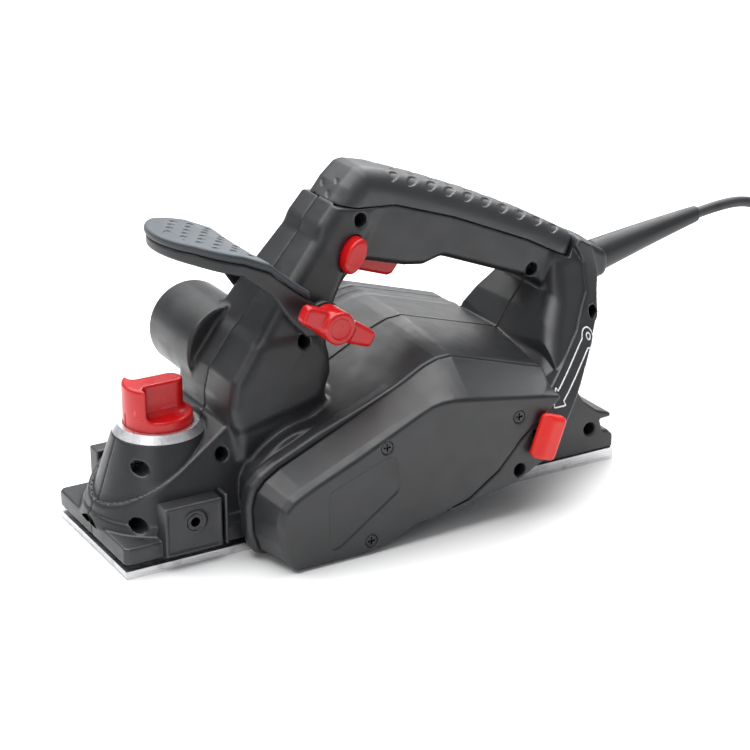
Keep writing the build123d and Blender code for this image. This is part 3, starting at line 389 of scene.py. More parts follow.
BRUSHED_X = (40.0, 1600.0, 1600.0)
BRUSHED_Y = (1600.0, 40.0, 1600.0)
TURNED = (900.0, 900.0, 900.0)
# The third colour of each moulded material colours its pale specks and its edges; on the edges it is partly
# rubbed wear and partly a painted highlight.
MATERIALS = {
    "housing_plastic": moulded("housing_plastic", (0.012, 0.0125, 0.014), (0.017, 0.018, 0.02),
                               (0.07, 0.074, 0.082), 0.4, speckle=0.3, specular=0.6),
    "grip_rubber": moulded("grip_rubber", (0.014, 0.015, 0.017), (0.02, 0.021, 0.024),
                           (0.07, 0.074, 0.08), 0.46, 1900.0, speckle=0.2, specular=0.75),
    "palm_plastic": moulded("palm_plastic", (0.014, 0.015, 0.016), (0.02, 0.021, 0.023),
                            (0.08, 0.083, 0.09), 0.4, speckle=0.2),
    "palm_rubber": palm_rubber(),
    "red_plastic": moulded("red_plastic", (0.46, 0.003, 0.005), (0.56, 0.005, 0.007),
                           (0.8, 0.06, 0.05), 0.3, 900.0, 0.00002),
    "wrench_grip_red": moulded("wrench_grip_red", (0.68, 0.012, 0.008), (0.78, 0.022, 0.01),
                               (0.95, 0.2, 0.12), 0.34, 1000.0, 0.00003),
    "cord_rubber": moulded("cord_rubber", (0.018, 0.019, 0.021), (0.026, 0.027, 0.03),
                           (0.07, 0.07, 0.075), 0.45, 1300.0),
    "plug_plastic": moulded("plug_plastic", (0.02, 0.021, 0.023), (0.027, 0.028, 0.03),
                            (0.09, 0.09, 0.095), 0.4, 1400.0),
    "belt_rubber": moulded("belt_rubber", (0.012, 0.012, 0.013), (0.02, 0.02, 0.02),
                           (0.05, 0.05, 0.05), 0.6),
    "fan_plastic": moulded("fan_plastic", (0.05, 0.05, 0.052), (0.07, 0.07, 0.072),
                           (0.14, 0.14, 0.14), 0.45),
    "switch_plastic": moulded("switch_plastic", (0.04, 0.04, 0.045), (0.055, 0.055, 0.06),
                              (0.12, 0.12, 0.13), 0.4),
    "capacitor_film": moulded("capacitor_film", (0.55, 0.4, 0.05), (0.62, 0.46, 0.07), (0.8, 0.65, 0.2),
                              0.35),
    "carbon": moulded("carbon", (0.02, 0.02, 0.02), (0.05, 0.05, 0.05), (0.12, 0.12, 0.12), 0.55),
    "sole_aluminium": metal("sole_aluminium", (0.56, 0.56, 0.57), (0.8, 0.8, 0.81), 0.32, BRUSHED_X),
    "scale_silver": metal("scale_silver", (0.84, 0.84, 0.85), (0.9, 0.9, 0.91), 0.34, TURNED, 0.000003,
                          tarnish=(0.8, 0.8, 0.8)),
    "zinc_steel": metal("zinc_steel", (0.035, 0.035, 0.038), (0.08, 0.08, 0.085), 0.36, TURNED,
                        tarnish=(0.03, 0.03, 0.03)),
    "bright_steel": metal("bright_steel", (0.5, 0.5, 0.51), (0.72, 0.72, 0.73), 0.22, BRUSHED_Y),
    "spring_steel": metal("spring_steel", (0.3, 0.3, 0.31), (0.5, 0.5, 0.51), 0.3, TURNED),
    "clamp_aluminium": metal("clamp_aluminium", (0.5, 0.5, 0.52), (0.68, 0.68, 0.7), 0.38, BRUSHED_Y),
    "pulley_aluminium": metal("pulley_aluminium", (0.5, 0.5, 0.52), (0.7, 0.7, 0.72), 0.3, TURNED),
    "lamination_steel": laminated("lamination_steel"),
    "winding_copper": wound("winding_copper"),
    "brass": metal("brass", (0.6, 0.42, 0.16), (0.8, 0.6, 0.26), 0.25, TURNED, tarnish=(0.3, 0.2, 0.08)),
}
WHITE_PRINT = moulded("white_print", (0.72, 0.72, 0.72), (0.8, 0.8, 0.8), (0.9, 0.9, 0.9), 0.4, 900.0,
                      0.00002)


def dress_cad_nodes():
    for part in frame["record"]["subparts"]:
        data = frame["nodes"][part["node"]].data
        data.materials.clear()
        data.materials.append(MATERIALS[part["material_slot"]])


# ---- outlines in the side view, as the design has them ----
DRUM_X, DRUM_Z = 101.0, 28.3
MOTOR_X, MOTOR_Z = 178.0, 55.0
SEAM_Y, FACE_Y, SIDE_Y, CAP_Y, CAP_END_Y = -55.0, -78.0, 43.5, 52.0, 64.0
SOLE_HALF = 42.0
KNOB_X, RING_Z, RING_R, KNOB_R, KNOB_TOP = 38.7, 57.3, 23.3, 17.6, 83.0
CONE_R = 33.3               # 28 mm above the soles
HANDLE_HALF = 18.2
PIVOT_X, PIVOT_Z, PALM_HALF = 116.0, 111.0, 34.0
TUBE_X, TUBE_Z, TUBE_R, TUBE_BORE_R, TUBE_END_Y = 86.2, 84.8, 23.1, 20.5, 62.0
BUTTON_X, BUTTON_Z, BUTTON_TILT = 137.5, 138.0, 62.0
WRENCH_X, WRENCH_Z = 218.5, 43.5
CORD_Z = 101.5
FENCE_X, FENCE_Z, FENCE_NUT_R = 36.0, 24.4, 4.2
WALL, DRUM_WALL = 3.0, 1.1
DRUM_ROOM_R, DRUM_ROOM_HALF, DRUM_HOOD_R, DRUM_HOOD_HALF = 28.9, 41.4, 30.2, 42.8
MOTOR_ROOM_R = 31.5
PIVOT_BORE_R = 3.1
GRIP_HALF = 19.0
HALF_GAP = 0.05             # each half of the housing ends this far from the middle
SEAM = [(66, 6), (63, 16), (62.6, 29.5), (64.7, 37.4), (69.6, 42.7), (77.3, 47.5), (108.3, 60.9),
        (147.8, 78.6), (160, 85), (168, 87.5), (176, 87.8), (233, 70), (231, 63), (205, 43), (192, 29),
        (174, 17), (151, 11), (145, 10.6), (118, 1.6), (73.5, 1.6)]
FACE = [(73, 4), (70, 14), (67.8, 26.8), (69.6, 33.6), (74.3, 38), (85.8, 43.6), (109, 53),
        (145, 69.8), (152, 72.6), (158, 73.4), (165, 73), (229, 62.6), (228.5, 60.5), (205, 43), (192, 29),
        (174, 17), (151, 11), (145, 10.6), (118, 1.8), (74, 1.8)]
MIDDLE = [(70, 8), (70, 16), (70, 29.5), (70, 37.4), (73, 44), (80, 50), (112, 62),
          (147.8, 80.2), (163, 87.6), (171, 90.4), (180, 91), (239, 73.3), (243, 63), (240, 43), (238, 29),
          (238, 17), (200, 11), (180, 10), (118, 8), (90, 8)]
BULGE = [(140, 20), (140, 76.5), (147.8, 80.2), (163, 87.6), (171, 90.4), (180, 91), (239, 73.3),
         (243, 63), (240, 43), (238, 29), (232, 20)]
COLUMN = [(66.5, 40), (66, 72), (68.8, 83.5), (93.6, 116.8), (108.9, 134.9), (133, 163), (160, 163),
          (155, 156), (142, 136), (135, 127), (127, 113), (122, 97), (119, 80), (119, 40)]
COLUMN_FOOT = [(66.2, 60), (65.8, 71), (68.8, 83.5), (82, 101), (112, 101), (121, 90), (121.5, 80),
               (112, 69)]
HANDLE = [(122, 152), (132, 163), (140, 173), (149.5, 175), (162, 172.6), (191, 162), (221.5, 149.6),
          (253, 135), (282, 120), (300, 110), (300, 96), (258, 97), (246, 105), (194, 125.5), (183, 122.6),
          (172, 124.2), (148, 131.2), (130, 120)]
GRIP_TOP = [(131, 162.5), (134.5, 166.5), (138, 171), (146, 178), (150, 178.8), (162.3, 175.9),
            (190.8, 165.2), (221.5, 152.4), (253.2, 137.5), (279.6, 123.1)]
GRIP_EDGE = [(272, 112.5), (246, 126.5), (200, 146.5), (165, 158.5), (143, 160)]
REAR_FRAME = [(239, 71), (248, 86), (257.7, 97), (262, 118), (279.6, 121.5), (290, 117.5), (299, 110),
              (299.5, 98), (293, 83), (279, 69), (257, 55), (238.5, 42), (220.5, 29), (200, 19.5),
              (175, 13.5), (158, 11.3), (151, 11), (174, 17), (192, 29), (205, 43), (231, 63)]
BAND_OUTER = [(287, 117), (291, 101.5), (286, 82), (273.4, 68.8), (254, 55), (236, 43), (220, 28),
              (203, 19), (175, 14), (145, 11)]
BAND_INNER = [(151, 11), (174, 17), (192, 29), (204, 43), (231, 63), (264.5, 79), (279.5, 94), (280, 109),
              (272, 126)]
DECK = [(113.5, 6.6), (290, 6.6), (290, 14), (286.5, 17.5), (283, 18), (281, 24.5), (288, 24.8), (288, 27),
        (279, 30.5), (270, 37.5), (264, 47), (262, 60), (235, 60), (113.5, 30)]
PALM_TOP = [(36, 160.6), (50, 158.3), (72, 151.6), (86, 145.2), (97, 135.5), (108, 126.6)]
PALM_PAD_THICK = 4.6
CHIP_PASSAGE = [(76, 48), (76, 84), (84, 96), (99, 100), (99, 84), (108, 70), (108, 50)]
COLUMN_ROOM = [(110, 119), (118, 128), (133, 148), (148, 155), (150, 148), (140, 138), (131, 127),
               (126, 119)]
HANDLE_ROOM = [(140, 158), (150, 170.5), (162, 168.5), (191, 158), (221.5, 145.5), (253, 131), (282, 115.5),
               (292, 109), (292, 99.8), (262, 100.5), (247, 108.8), (194, 129.4), (184, 126.6), (172, 128.4),
               (152, 134), (140, 140)]
FRAME_ROOM = [(262, 99), (262, 112), (292, 109), (293, 99), (287, 84), (273, 71), (252, 58), (235, 46),
              (229, 42), (229, 56), (240, 66), (250, 80)]
DECK_ROOM = [(236, 10), (278, 10), (278, 15), (268, 24), (260, 34), (254, 44), (240, 36), (236, 30)]
LOWER_SCREW = (281.5, 83)
HOUSING_SCREWS = [(144, 154), (107, 99), (249.5, 109), LOWER_SCREW, (205, 26), (274, 20.5),
                  (59.2, 49), (20, 46), (13.5, 20.5)]
SOLE_SCREWS = [(x, y) for x in (142, 212, 272) for y in (-32, 32)]
COVER_SCREWS = [(126, 56), (117, 7.5), (203.6, 56)]
END_CAP_SCREWS = [(146.5, 30), (234, 32), (233, 68)]
SPRING_SPOTS = [(26, -24), (26, 24), (62, -18), (62, 18)]


# ---- the housing's outer forms ----
def nose(x, y, z):
    """Front block in two tiers: a low base, and a sloping nose with a round plan and a rim at its edge."""
    side = np.abs(y)
    base = meet(0.1 - x, side - SOLE_HALF + 0.3, (side - x - SOLE_HALF + 2.6) * 0.7071, x - 92)
    base = meet(base, span(z, 6.9, 15.8), r=0.9)
    round_plan = np.hypot(np.maximum(KNOB_X - x, 0), side) - 39.8 + 0.3 * (z - 16)
    plan = meet(round_plan, x - 125)
    foot = np.maximum(round_plan - 0.8, np.maximum(z - 20.5, x - 92))
    slope = ((z - 25.3) - (x - 1) * 0.58) * 0.865
    arch = disc(y, z, 0, 25.25, 48.0)
    roof = meet(slope, arch, r=1.6)
    tier = meet(plan, roof, z - 72, 14 - z, r=1.6)
    tier = join(tier, meet(foot, 14 - z, r=0.9), r=0.4)
    cone = cone_field(x, y, z)
    groove = meet(span(cone, -0.2, 1.3), -roof - 1.3, 24.5 - z, x - 92)
    tier = less(tier, groove, r=0.4)
    return join(base, tier, r=0.4)


def cone_field(x, y, z):
    radius = CONE_R + (z - 28) * (RING_R - CONE_R) / (RING_Z - 28)
    return (np.hypot(x - KNOB_X, y) - radius) * 0.946


def tower(x, y, z):
    return meet(cone_field(x, y, z), span(z, 15, RING_Z), r=1.0)


def fence_boss(x, y, z):
    """Block with a raised frame round its metal thread, and a thin rib behind it."""
    side = np.abs(y)
    block = cuboid(x, side, z, (20, 50.9), (36, 45.3), (8.2, 34), r=0.7)
    pane = cuboid(x, side, z, (21.6, 49.2), (44.6, 47), (9.9, 32.3), r=0.5)
    rim = less(cuboid(x, side, z, (20, 50.9), (36, 46.0), (8.2, 34), r=0.7), pane, r=0.3)
    collar = meet(disc(x, z, FENCE_X, FENCE_Z, 6.4), span(side, 40, 46.0), r=0.6)
    rib = cuboid(x, side, z, (52.6, 54.4), (36, 45.4), (8.2, 35), r=0.6)
    return np.minimum(np.minimum(join(block, rim, r=0.3), collar), rib)


def drum_hood(x, y, z):
    """The body swells a little round the cutter drum."""
    return meet(disc(x, z, DRUM_X, DRUM_Z, DRUM_HOOD_R), np.abs(y) - DRUM_HOOD_HALF, 8 - z, r=1.5)


def column_sides(y, z):
    """The column narrows towards the handle."""
    return (np.abs(y) - np.clip(33 - (z - 62) * 14 / 96, 19, 33.6)) * 0.99


def column(x, y, z):
    return meet(outline(COLUMN, x, z, 5), column_sides(y, z), 40 - z, r=6)


def column_foot(x, y, z):
    """The column's lower end, with a rounded lower edge."""
    return meet(outline(COLUMN_FOOT, x, z, 6), column_sides(y, z), r=3.0)


def handle(x, y, z):
    return meet(outline(HANDLE, x, z, 6), np.abs(y) - HANDLE_HALF, r=4)


def motor_body(x, y, z):
    at = np.clip((y - SEAM_Y) / -SEAM_Y, 0, 1).astype(np.float32)
    section = outline(SEAM, x, z, 3) * (1 - at) + outline(MIDDLE, x, z, 3) * at
    main = meet(section, span(y, SEAM_Y, SIDE_Y), r=2.2)
    bulge = meet(outline(BULGE, x, z, 4), span(y, SIDE_Y - 6, CAP_Y - 0.15), r=0.8)
    return join(main, bulge, r=2)


def lip(x, y, z):
    """Rounded roll that follows the belt cover's front and top edge."""
    edge = outline(SEAM, x, z, 5)
    height = 3.0 * np.clip((140 - x) / 40, 0, 1)
    roll = meet(edge - height, -5.0 - edge, span(y, SEAM_Y - 0.4, SEAM_Y + 9.5), r=2.8)
    return meet(roll, 2.0 - z, x - 142, r=2.8)


def rear_flank(x, z):
    """How far the rear frame leans in, from 0 at the cover to 1 at the handle."""
    along = np.clip(((x - 165) * 0.633 + (z - 73) * 0.774) / 111, 0, 1)
    return along * along * (3 - 2 * along)


def rear_sides(x, y, z):
    lean = rear_flank(x, z)
    return np.maximum((FACE_Y + 59 * lean - y) * 0.84, (y - 50 + 32 * lean) * 0.84)


def rear_frame(x, y, z):
    """The arm from the handle's rear end to the belt side's base, with a raised band down its outer edge."""
    sides = rear_sides(x, y, z)
    half = 18 + 60 * (1 - rear_flank(x, z))
    rounded = x + 5.0 * np.clip(np.abs(y) / half, 0, 1) ** 2
    frame_form = outline(REAR_FRAME, np.where(x > 240, rounded, x), z, 4)
    front_right = meet(frame_form, sides, span(y, FACE_Y + 1.5, 58), r=3)
    front_left = meet(frame_form, sides, span(y, FACE_Y + 1.5, 58), r=12)
    core = np.where(y < -6, front_left, front_right)
    screw_post = meet(disc(x, z, *LOWER_SCREW, 6.0), sides + 0.3, span(y, -60, 10), r=1.0)
    core = join(core, screw_post, r=4)
    band = outline(BAND_OUTER + BAND_INNER, x, z, 3)
    raised = meet(band + 0.4, sides - 1.2, span(y, FACE_Y + 0.4, 0), r=0.7)
    return join(core, raised, r=0.3)


def deck(x, y, z):
    return meet(outline(DECK, x, z, 0.8), np.abs(y) - SOLE_HALF + 0.3, r=1.5)


def chip_tube(x, y, z):
    return meet(disc(x, z, TUBE_X, TUBE_Z, TUBE_R), span(y, 15, TUBE_END_Y), r=1.2)


def outer_form(x, y, z):
    front = join(nose(x, y, z), tower(x, y, z), r=0.8)
    front = join(front, fence_boss(x, y, z), r=0.5)
    trunk = join(column(x, y, z), column_foot(x, y, z), r=4)
    top = join(trunk, handle(x, y, z), r=5)
    rear = join(rear_frame(x, y, z), deck(x, y, z), r=1.5)
    whole = join(motor_body(x, y, z), lip(x, y, z), r=1.2)
    whole = join(whole, drum_hood(x, y, z), r=3.0)
    whole = join(whole, front, r=1.0)
    whole = join(whole, rear, r=1.2)
    whole = join(whole, top, r=2.5)
    return join(whole, chip_tube(x, y, z), r=2.0)


# ---- the rooms inside ----
def lozenge(x, z, grow=0.0):
    """The lock button's oval, tilted along the column."""
    a, b = turn_about(x, z, BUTTON_X, BUTTON_Z, BUTTON_TILT)
    return (np.hypot(a / (9.6 + grow), b / (5.4 + grow)) - 1) * (5.4 + grow)


def sealed_rooms(x, y, z):
    """Rooms inside the shell, which nowhere come through its skin."""
    side = np.abs(y)
    rooms = [
        np.maximum(disc(x, z, MOTOR_X, MOTOR_Z, MOTOR_ROOM_R), span(y, -DRUM_ROOM_HALF, CAP_Y - 6)),
        np.maximum(outline(COLUMN_ROOM, x, z), side - 13),
        np.maximum(outline(HANDLE_ROOM, x, z), side - 13.5),
        np.maximum(outline(FRAME_ROOM, x, z), side - 14),
        np.maximum(outline(DECK_ROOM, x, z), side - 36),
        cuboid(x, side, z, (136, 232), (-1, 35.5), (9.5, 19.5)),
        cuboid(x, side, z, (5, 92), (-1, 34), (6, 14)),
    ]
    return rooms + [np.maximum(disc(x, y, *at, 5.2), span(z, 12, 22)) for at in SPRING_SPOTS]


def drum_room(x, y, z):
    return np.maximum(disc(x, z, DRUM_X, DRUM_Z, DRUM_ROOM_R), np.abs(y) - DRUM_ROOM_HALF)


def open_rooms(x, y, z):
    """Rooms and bores that open at the skin."""
    side = np.abs(y)
    return [
        cuboid(x, side, z, (-9, 92), (-1, SOLE_HALF + 5), (-5, 6.9)),
        cuboid(x, side, z, (90, 295), (-1, SOLE_HALF + 5), (-5, 6.6)),
        cuboid(x, side, z, (87.5, 113.5), (-1, DRUM_ROOM_HALF), (0, 22)),
        np.maximum(disc(x, z, MOTOR_X, MOTOR_Z, MOTOR_ROOM_R), span(y, 34, CAP_Y + 3)),
        np.maximum(disc(x, z, MOTOR_X, MOTOR_Z, 11), span(y, -50, -41)),
        np.maximum(disc(x, z, MOTOR_X, MOTOR_Z, 6), span(y, -58, -41)),
        np.maximum(disc(x, z, DRUM_X, DRUM_Z, 13), span(y, -50, -41)),
        np.maximum(disc(x, z, DRUM_X, DRUM_Z, 7), span(y, -58, -41)),
        np.maximum(outline(CHIP_PASSAGE, x, z), side - 26),
        np.maximum(disc(x, z, TUBE_X, TUBE_Z, TUBE_BORE_R), span(y, 24, TUBE_END_Y + 3)),
        cuboid(x, side, z, (147, 178), (-1, 9.4), (110, 136)),
        np.maximum(disc(x, y, KNOB_X, 0, 10), span(z, 13, 31)),
        np.maximum(disc(x, y, KNOB_X, 0, 17), span(z, 30, 52)),
        np.maximum(disc(x, y, KNOB_X, 0, 4.3), span(z, 50, 60)),
        np.maximum(disc(x, y, KNOB_X, 0, RING_R + 0.3), span(z, RING_Z, KNOB_TOP)),
        np.maximum(disc(x, z, PIVOT_X, PIVOT_Z, PIVOT_BORE_R), side - 45),
        np.maximum(lozenge(x, z, 0.4), span(y, -30, -11)),
        np.maximum(lozenge(x, z, 1.8), span(y, -13.6, -4)),
        cuboid(x, y, z, (212.5, 224.5), (FACE_Y - 4, 18), (40.5, 46.5)),
        np.maximum(disc(y, z, 0, CORD_Z, 7.8), span(x, 282, 312)),
        np.maximum(disc(x, z, FENCE_X, FENCE_Z, FENCE_NUT_R), span(side, 36, 50)),
    ]


def housing_bosses(x, y, z):
    bosses = [np.maximum(disc(x, z, *at, 5.6), span(y, -16, 14)) for at in HOUSING_SCREWS]
    bosses += [np.maximum(disc(x, y, *at, 5.0), span(z, 6.6, 19.6)) for at in SOLE_SCREWS]
    collar = np.maximum(disc(x, z, DRUM_X, DRUM_Z, 15), span(y, 34.5, SIDE_Y))
    bosses.append(np.maximum(collar, 13 - np.hypot(x - DRUM_X, z - DRUM_Z)))
    return bosses


def housing_holes(x, y, z):
    holes = [np.maximum(disc(x, z, *at, 3.5), span(y, FACE_Y - 5, -10)) for at in HOUSING_SCREWS]
    holes += [np.maximum(disc(x, z, *at, 2.0), span(y, -12, 12)) for at in HOUSING_SCREWS]
    holes += [np.maximum(disc(x, y, *at, 2.0), span(z, 0, 17)) for at in SOLE_SCREWS]
    holes += [np.maximum(disc(x, z, *at, 1.6), span(y, SEAM_Y - 3, SEAM_Y + 11)) for at in COVER_SCREWS]
    holes += [np.maximum(disc(x, z, *at, 1.65), span(y, CAP_Y - 8, CAP_Y + 3)) for at in END_CAP_SCREWS]
    return holes


def cover_section(x, y, z, radius):
    """The cover's outline at y: a soft roll at its front, one straight facet towards its rear."""
    deep = np.interp(y, [FACE_Y, FACE_Y + 4, SEAM_Y], [1, 2 / 3, 0]).astype(np.float32)
    straight = np.interp(y, [FACE_Y, SEAM_Y], [1, 0]).astype(np.float32)
    rearward = np.clip((x - 110) / 50, 0, 1)
    share = deep * (1 - rearward) + straight * rearward
    return outline(SEAM, x, z, radius) * (1 - share) + outline(FACE, x, z, radius) * share


def cover_form(x, y, z):
    return meet(cover_section(x, y, z, 2), span(y, FACE_Y, SEAM_Y), r=1.4)


def grip_form(x, y, z):
    """Round shoulders that end at a crisp edge along the handle's side."""
    below = [(edge_x, edge_z - 25) for edge_x, edge_z in GRIP_EDGE]
    shoulders = meet(outline(GRIP_TOP + below, x, z, 5), np.abs(y) - GRIP_HALF, r=12)
    return meet(shoulders, outline(GRIP_TOP + GRIP_EDGE, x, z, 1), r=0.6)


def housing(x, y, z):
    form = outer_form(x, y, z)
    shell = form
    for room in sealed_rooms(x, y, z):
        shell = np.maximum(shell, -np.maximum(room, form + WALL))
    shell = np.maximum(shell, -np.maximum(drum_room(x, y, z), form + DRUM_WALL))
    for room in open_rooms(x, y, z):
        shell = np.maximum(shell, -room)
    for boss in housing_bosses(x, y, z):
        shell = np.minimum(shell, np.maximum(boss, form))
    for hole in housing_holes(x, y, z):
        shell = less(shell, hole, r=0.5)
    cover = cover_section(x, y, z, 2)
    shell = less(shell, np.maximum(cover - 0.35, y - SEAM_Y), r=0.5)
    return less(shell, outline(GRIP_TOP + GRIP_EDGE, x, z, 1) - 0.3, r=0.4)


def left_housing(x, y, z):
    return meet(housing(x, y, z), y + HALF_GAP, r=0.8)


def right_housing(x, y, z):
    return meet(housing(x, y, z), HALF_GAP - y, r=0.8)


def build_housing():
    carved("left_housing_shell", left_housing, (0, -79, 0), (309, 1, 176), 0.8, "planer_body",
           "housing_plastic", ["housing_left"], 170000)
    carved("right_housing_shell", right_housing, (0, -1, 0), (309, 63, 176), 0.9, "planer_body",
           "housing_plastic", ["housing_right"], 120000)


# ---- cover, cap and grip ----
LABEL = [(93.4, 39.0), (130.7, 52.4), (133.1, 31.8), (93.1, 4.3)]


def belt_room(x, z, motor_r, drum_r):
    """Outline round both pulleys: each circle, and a bar between them whose width changes."""
    run = np.array([DRUM_X - MOTOR_X, DRUM_Z - MOTOR_Z])
    length = float(np.hypot(*run))
    u = ((x - MOTOR_X) * run[0] + (z - MOTOR_Z) * run[1]) / length
    v = np.abs((z - MOTOR_Z) * run[0] - (x - MOTOR_X) * run[1]) / length
    share = np.clip(u / length, 0, 1)
    return np.hypot(u - share * length, v) - (motor_r + (drum_r - motor_r) * share)


def belt_cover(x, y, z):
    cover = cover_form(x, y, z)
    panel = meet(outline(LABEL, x, z, 5), FACE_Y - 1 - y, y - FACE_Y - 0.6)
    cover = less(cover, np.maximum(panel, FACE_Y - 2 - y), r=0.4)
    cover = less(cover, np.maximum(belt_room(x, z, 14.8, 19.5), span(y, FACE_Y + 3, SEAM_Y + 3)))
    for at in COVER_SCREWS:
        cover = less(cover, np.maximum(disc(x, z, *at, 3.4), y - FACE_Y - 3), r=0.6)
        cover = less(cover, np.maximum(disc(x, z, *at, 1.8), span(y, FACE_Y - 2, SEAM_Y + 3)))
    return cover


def motor_end_cap(x, y, z):
    shell = meet(outline(BULGE, x, z, 5), span(y, CAP_Y + 0.15, CAP_END_Y), r=2.5)
    reach = np.hypot(x - MOTOR_X, z - MOTOR_Z)
    shell = less(shell, np.maximum(reach - 29, span(y, CAP_Y - 3, CAP_END_Y - 3)))
    boss = np.maximum(reach - 14, span(y, 53, CAP_END_Y - 1))
    shell = np.minimum(shell, boss)
    shell = less(shell, np.maximum(reach - 11, span(y, CAP_Y - 3, 60)))
    angle = np.arctan2(z - MOTOR_Z, x - MOTOR_X)
    pitch = math.radians(24)
    across = (angle - pitch * np.round(angle / pitch)) * reach
    slots = meet(np.abs(across) - 1.5, span(reach, 16.5, 27), r=1.0)
    shell = less(shell, np.maximum(slots, span(y, CAP_END_Y - 6, CAP_END_Y + 3)), r=0.5)
    for at in END_CAP_SCREWS:
        shell = less(shell, np.maximum(disc(x, z, *at, 3.4), CAP_END_Y - 3 - y), r=0.4)
        shell = less(shell, np.maximum(disc(x, z, *at, 1.8), CAP_Y - 3 - y))
    return shell


def handle_grip(x, y, z):
    """Soft cap along the handle's top, with two rows of slanted dimples and a few on its front."""
    grip = grip_form(x, y, z)
    along, _ = turn_about(x, z, 162.3, 175.9, -24.5)
    rows = dimples(along, y + 3.0, 12.0, 10.0, 4.4, 2.0, 38)
    shown = np.maximum(span(y, -17, 11), span(along, 4, 118))
    pits = meet(rows, shown, -(grip + 0.7))
    grip = less(grip, pits, r=0.5)
    front, _ = turn_about(x, z, 131, 162.5, 48)
    rows = dimples(front - 4, y + 5, 8.0, 10.0, 2.5, 1.2, 60)
    pits = meet(rows, np.abs(y) - 8.5, span(front, 0, 13), -(grip + 0.6))
    grip = less(grip, pits, r=0.45)
    return less(grip, meet(outline(HANDLE_ROOM, x, z), np.abs(y) - 13.5, grip + WALL))


def storage_mark(x, y, z):
    """A printed arrow with a ring at its end, in outline, that points down the band to the stored wrench."""
    along, across = turn_about(x, z, 229, 53.3, 25.6)
    arrow = outline([(0, 0), (8, 5.6), (8, 3), (44, 3), (44, -3), (8, -3), (8, -5.6)], along, across, 0.6)
    ring = np.hypot(along - 47, across) - 4.8
    symbol = less(join(arrow, ring), np.hypot(along - 48, across) - 1.6)
    surface = rear_frame(x, y, z)
    return meet(np.abs(symbol) - 0.42, np.abs(surface) - 0.3, y + 12)


def build_mark():
    mark = carved("wrench_store_mark", storage_mark, (226, -79, 44), (282, -12, 84), 0.4, "planer_body",
                  "housing_plastic", [], 30000)
    mark.data.materials[0] = WHITE_PRINT


def build_covers():
    carved("belt_cover_shell", belt_cover, (62, -78, 1), (236, -55, 89), 0.6, "planer_body",
           "housing_plastic", ["belt_cover"], 60000)
    carved("motor_end_cap_shell", motor_end_cap, (138, 52, 18), (245, 64, 92), 0.7, "planer_body",
           "housing_plastic", ["motor_end_cap"], 40000)
    carved("handle_grip_rubber", handle_grip, (130, -19, 111), (281, 19, 180), 0.5, "planer_body",
           "grip_rubber", ["handle_grip"], 70000)


# ---- palm rest ----
def palm_plan(x, y, inset):
    half = PALM_HALF - inset
    tip = disc(x, y, 38.4 + PALM_HALF, 0, half)
    back = np.maximum(span(x, 72.4, 130), np.abs(y) - half)
    crotch = np.minimum(np.maximum(span(x, 91, 140), np.abs(y) - 29.5),
                        (np.hypot((x - 91) / 6, y / 29.5) - 1) * 6)
    return np.maximum(np.minimum(tip, back), -crotch)


def palm_pad(x, y, z):
    ribbon = PALM_TOP + [(x, z - PALM_PAD_THICK) for x, z in reversed(PALM_TOP)]
    side = outline(ribbon, x, z, 1.0)
    pad = meet(side, palm_plan(x, y, 0.0), r=1.8)
    marks = meet(dimples(x, y, 9.5, 8.0, 2.7, 1.5, 40), palm_plan(x, y, 6.0), x - 94, -(pad + 0.8))
    return less(pad, marks, r=0.35)


def palm_base(x, y, z):
    under = [(x, z - PALM_PAD_THICK) for x, z in PALM_TOP]
    lower = [(106, 103), (98, 112), (88, 127), (72, 140.5), (50, 147.5), (37.5, 150.5)]
    side = outline(under + [(112, 119), (118, 121), (118, 101)] + lower, x, z, 2)
    plate = meet(side, palm_plan(x, y, 0.8), r=1.3)
    ears = meet(disc(x, z, PIVOT_X, PIVOT_Z, 9.2), span(np.abs(y), 29.5, PALM_HALF - 0.8), r=0.8)
    bore = np.maximum(disc(x, z, PIVOT_X, PIVOT_Z, PIVOT_BORE_R), np.abs(y) - 50)
    return less(join(plate, ears, r=0.5), bore)


def wing_knob(x, y, z):
    along, across = turn_about(x, z, PIVOT_X, PIVOT_Z, -28)
    waist = 6.2 - 2.2 * np.clip(np.abs(along) / 23.5, 0, 1) ** 2
    wing = meet(span(along, -20.5, 23.3), np.abs(across) - waist, span(y, -47.3, -39.6), r=2.4)
    hub = meet(np.hypot(along, across) - 8.5, span(y, -50, -33.6), r=1.6)
    knob = join(wing, hub, r=2.2)
    knob = less(knob, np.maximum(np.hypot(along, across) - 5.4, y + 49.2), r=0.4)
    return less(knob, np.maximum(np.hypot(along, across) - PIVOT_BORE_R, -46.5 - y))


def build_palm_rest():
    pad = carved("palm_rest_cushion", palm_pad, (37, -34, 121), (109, 34, 162), 0.5, "palm_rest",
                 "palm_rubber", ["palm_rest_pad"], 50000)
    carved("palm_rest_arms", palm_base, (37, -34, 97), (130, 34, 158), 0.6, "palm_rest", "palm_plastic",
           ["palm_rest_base"], 50000)
    carved("wing_knob_red", wing_knob, (92, -50, 97), (140, -33, 125), 0.4, "clamp_wing", "red_plastic",
           ["wing_knob"], 24000)


# ---- knob, trigger, button and wrench ----
def depth_knob(x, y, z):
    """A round knob cut away on both sides of a finger bar with a round rear end."""
    reach = np.hypot(x - KNOB_X, y)
    knob = meet(reach - KNOB_R, span(z, RING_Z + 0.3, KNOB_TOP), r=1.8)
    bar = np.hypot(np.maximum(x - (KNOB_X + 7.3), 0), y) - 6.2
    pocket = meet(-bar, 66.5 - z, KNOB_X - 11.5 - x, r=3.6)
    knob = less(knob, pocket, r=1.3)
    pointer = meet(np.abs(y) - 0.7, x - (KNOB_X - KNOB_R + 0.6), span(z, 59, 68))
    knob = less(knob, pointer, r=0.2)
    return less(knob, np.maximum(reach - 4.05, z - 72.1))


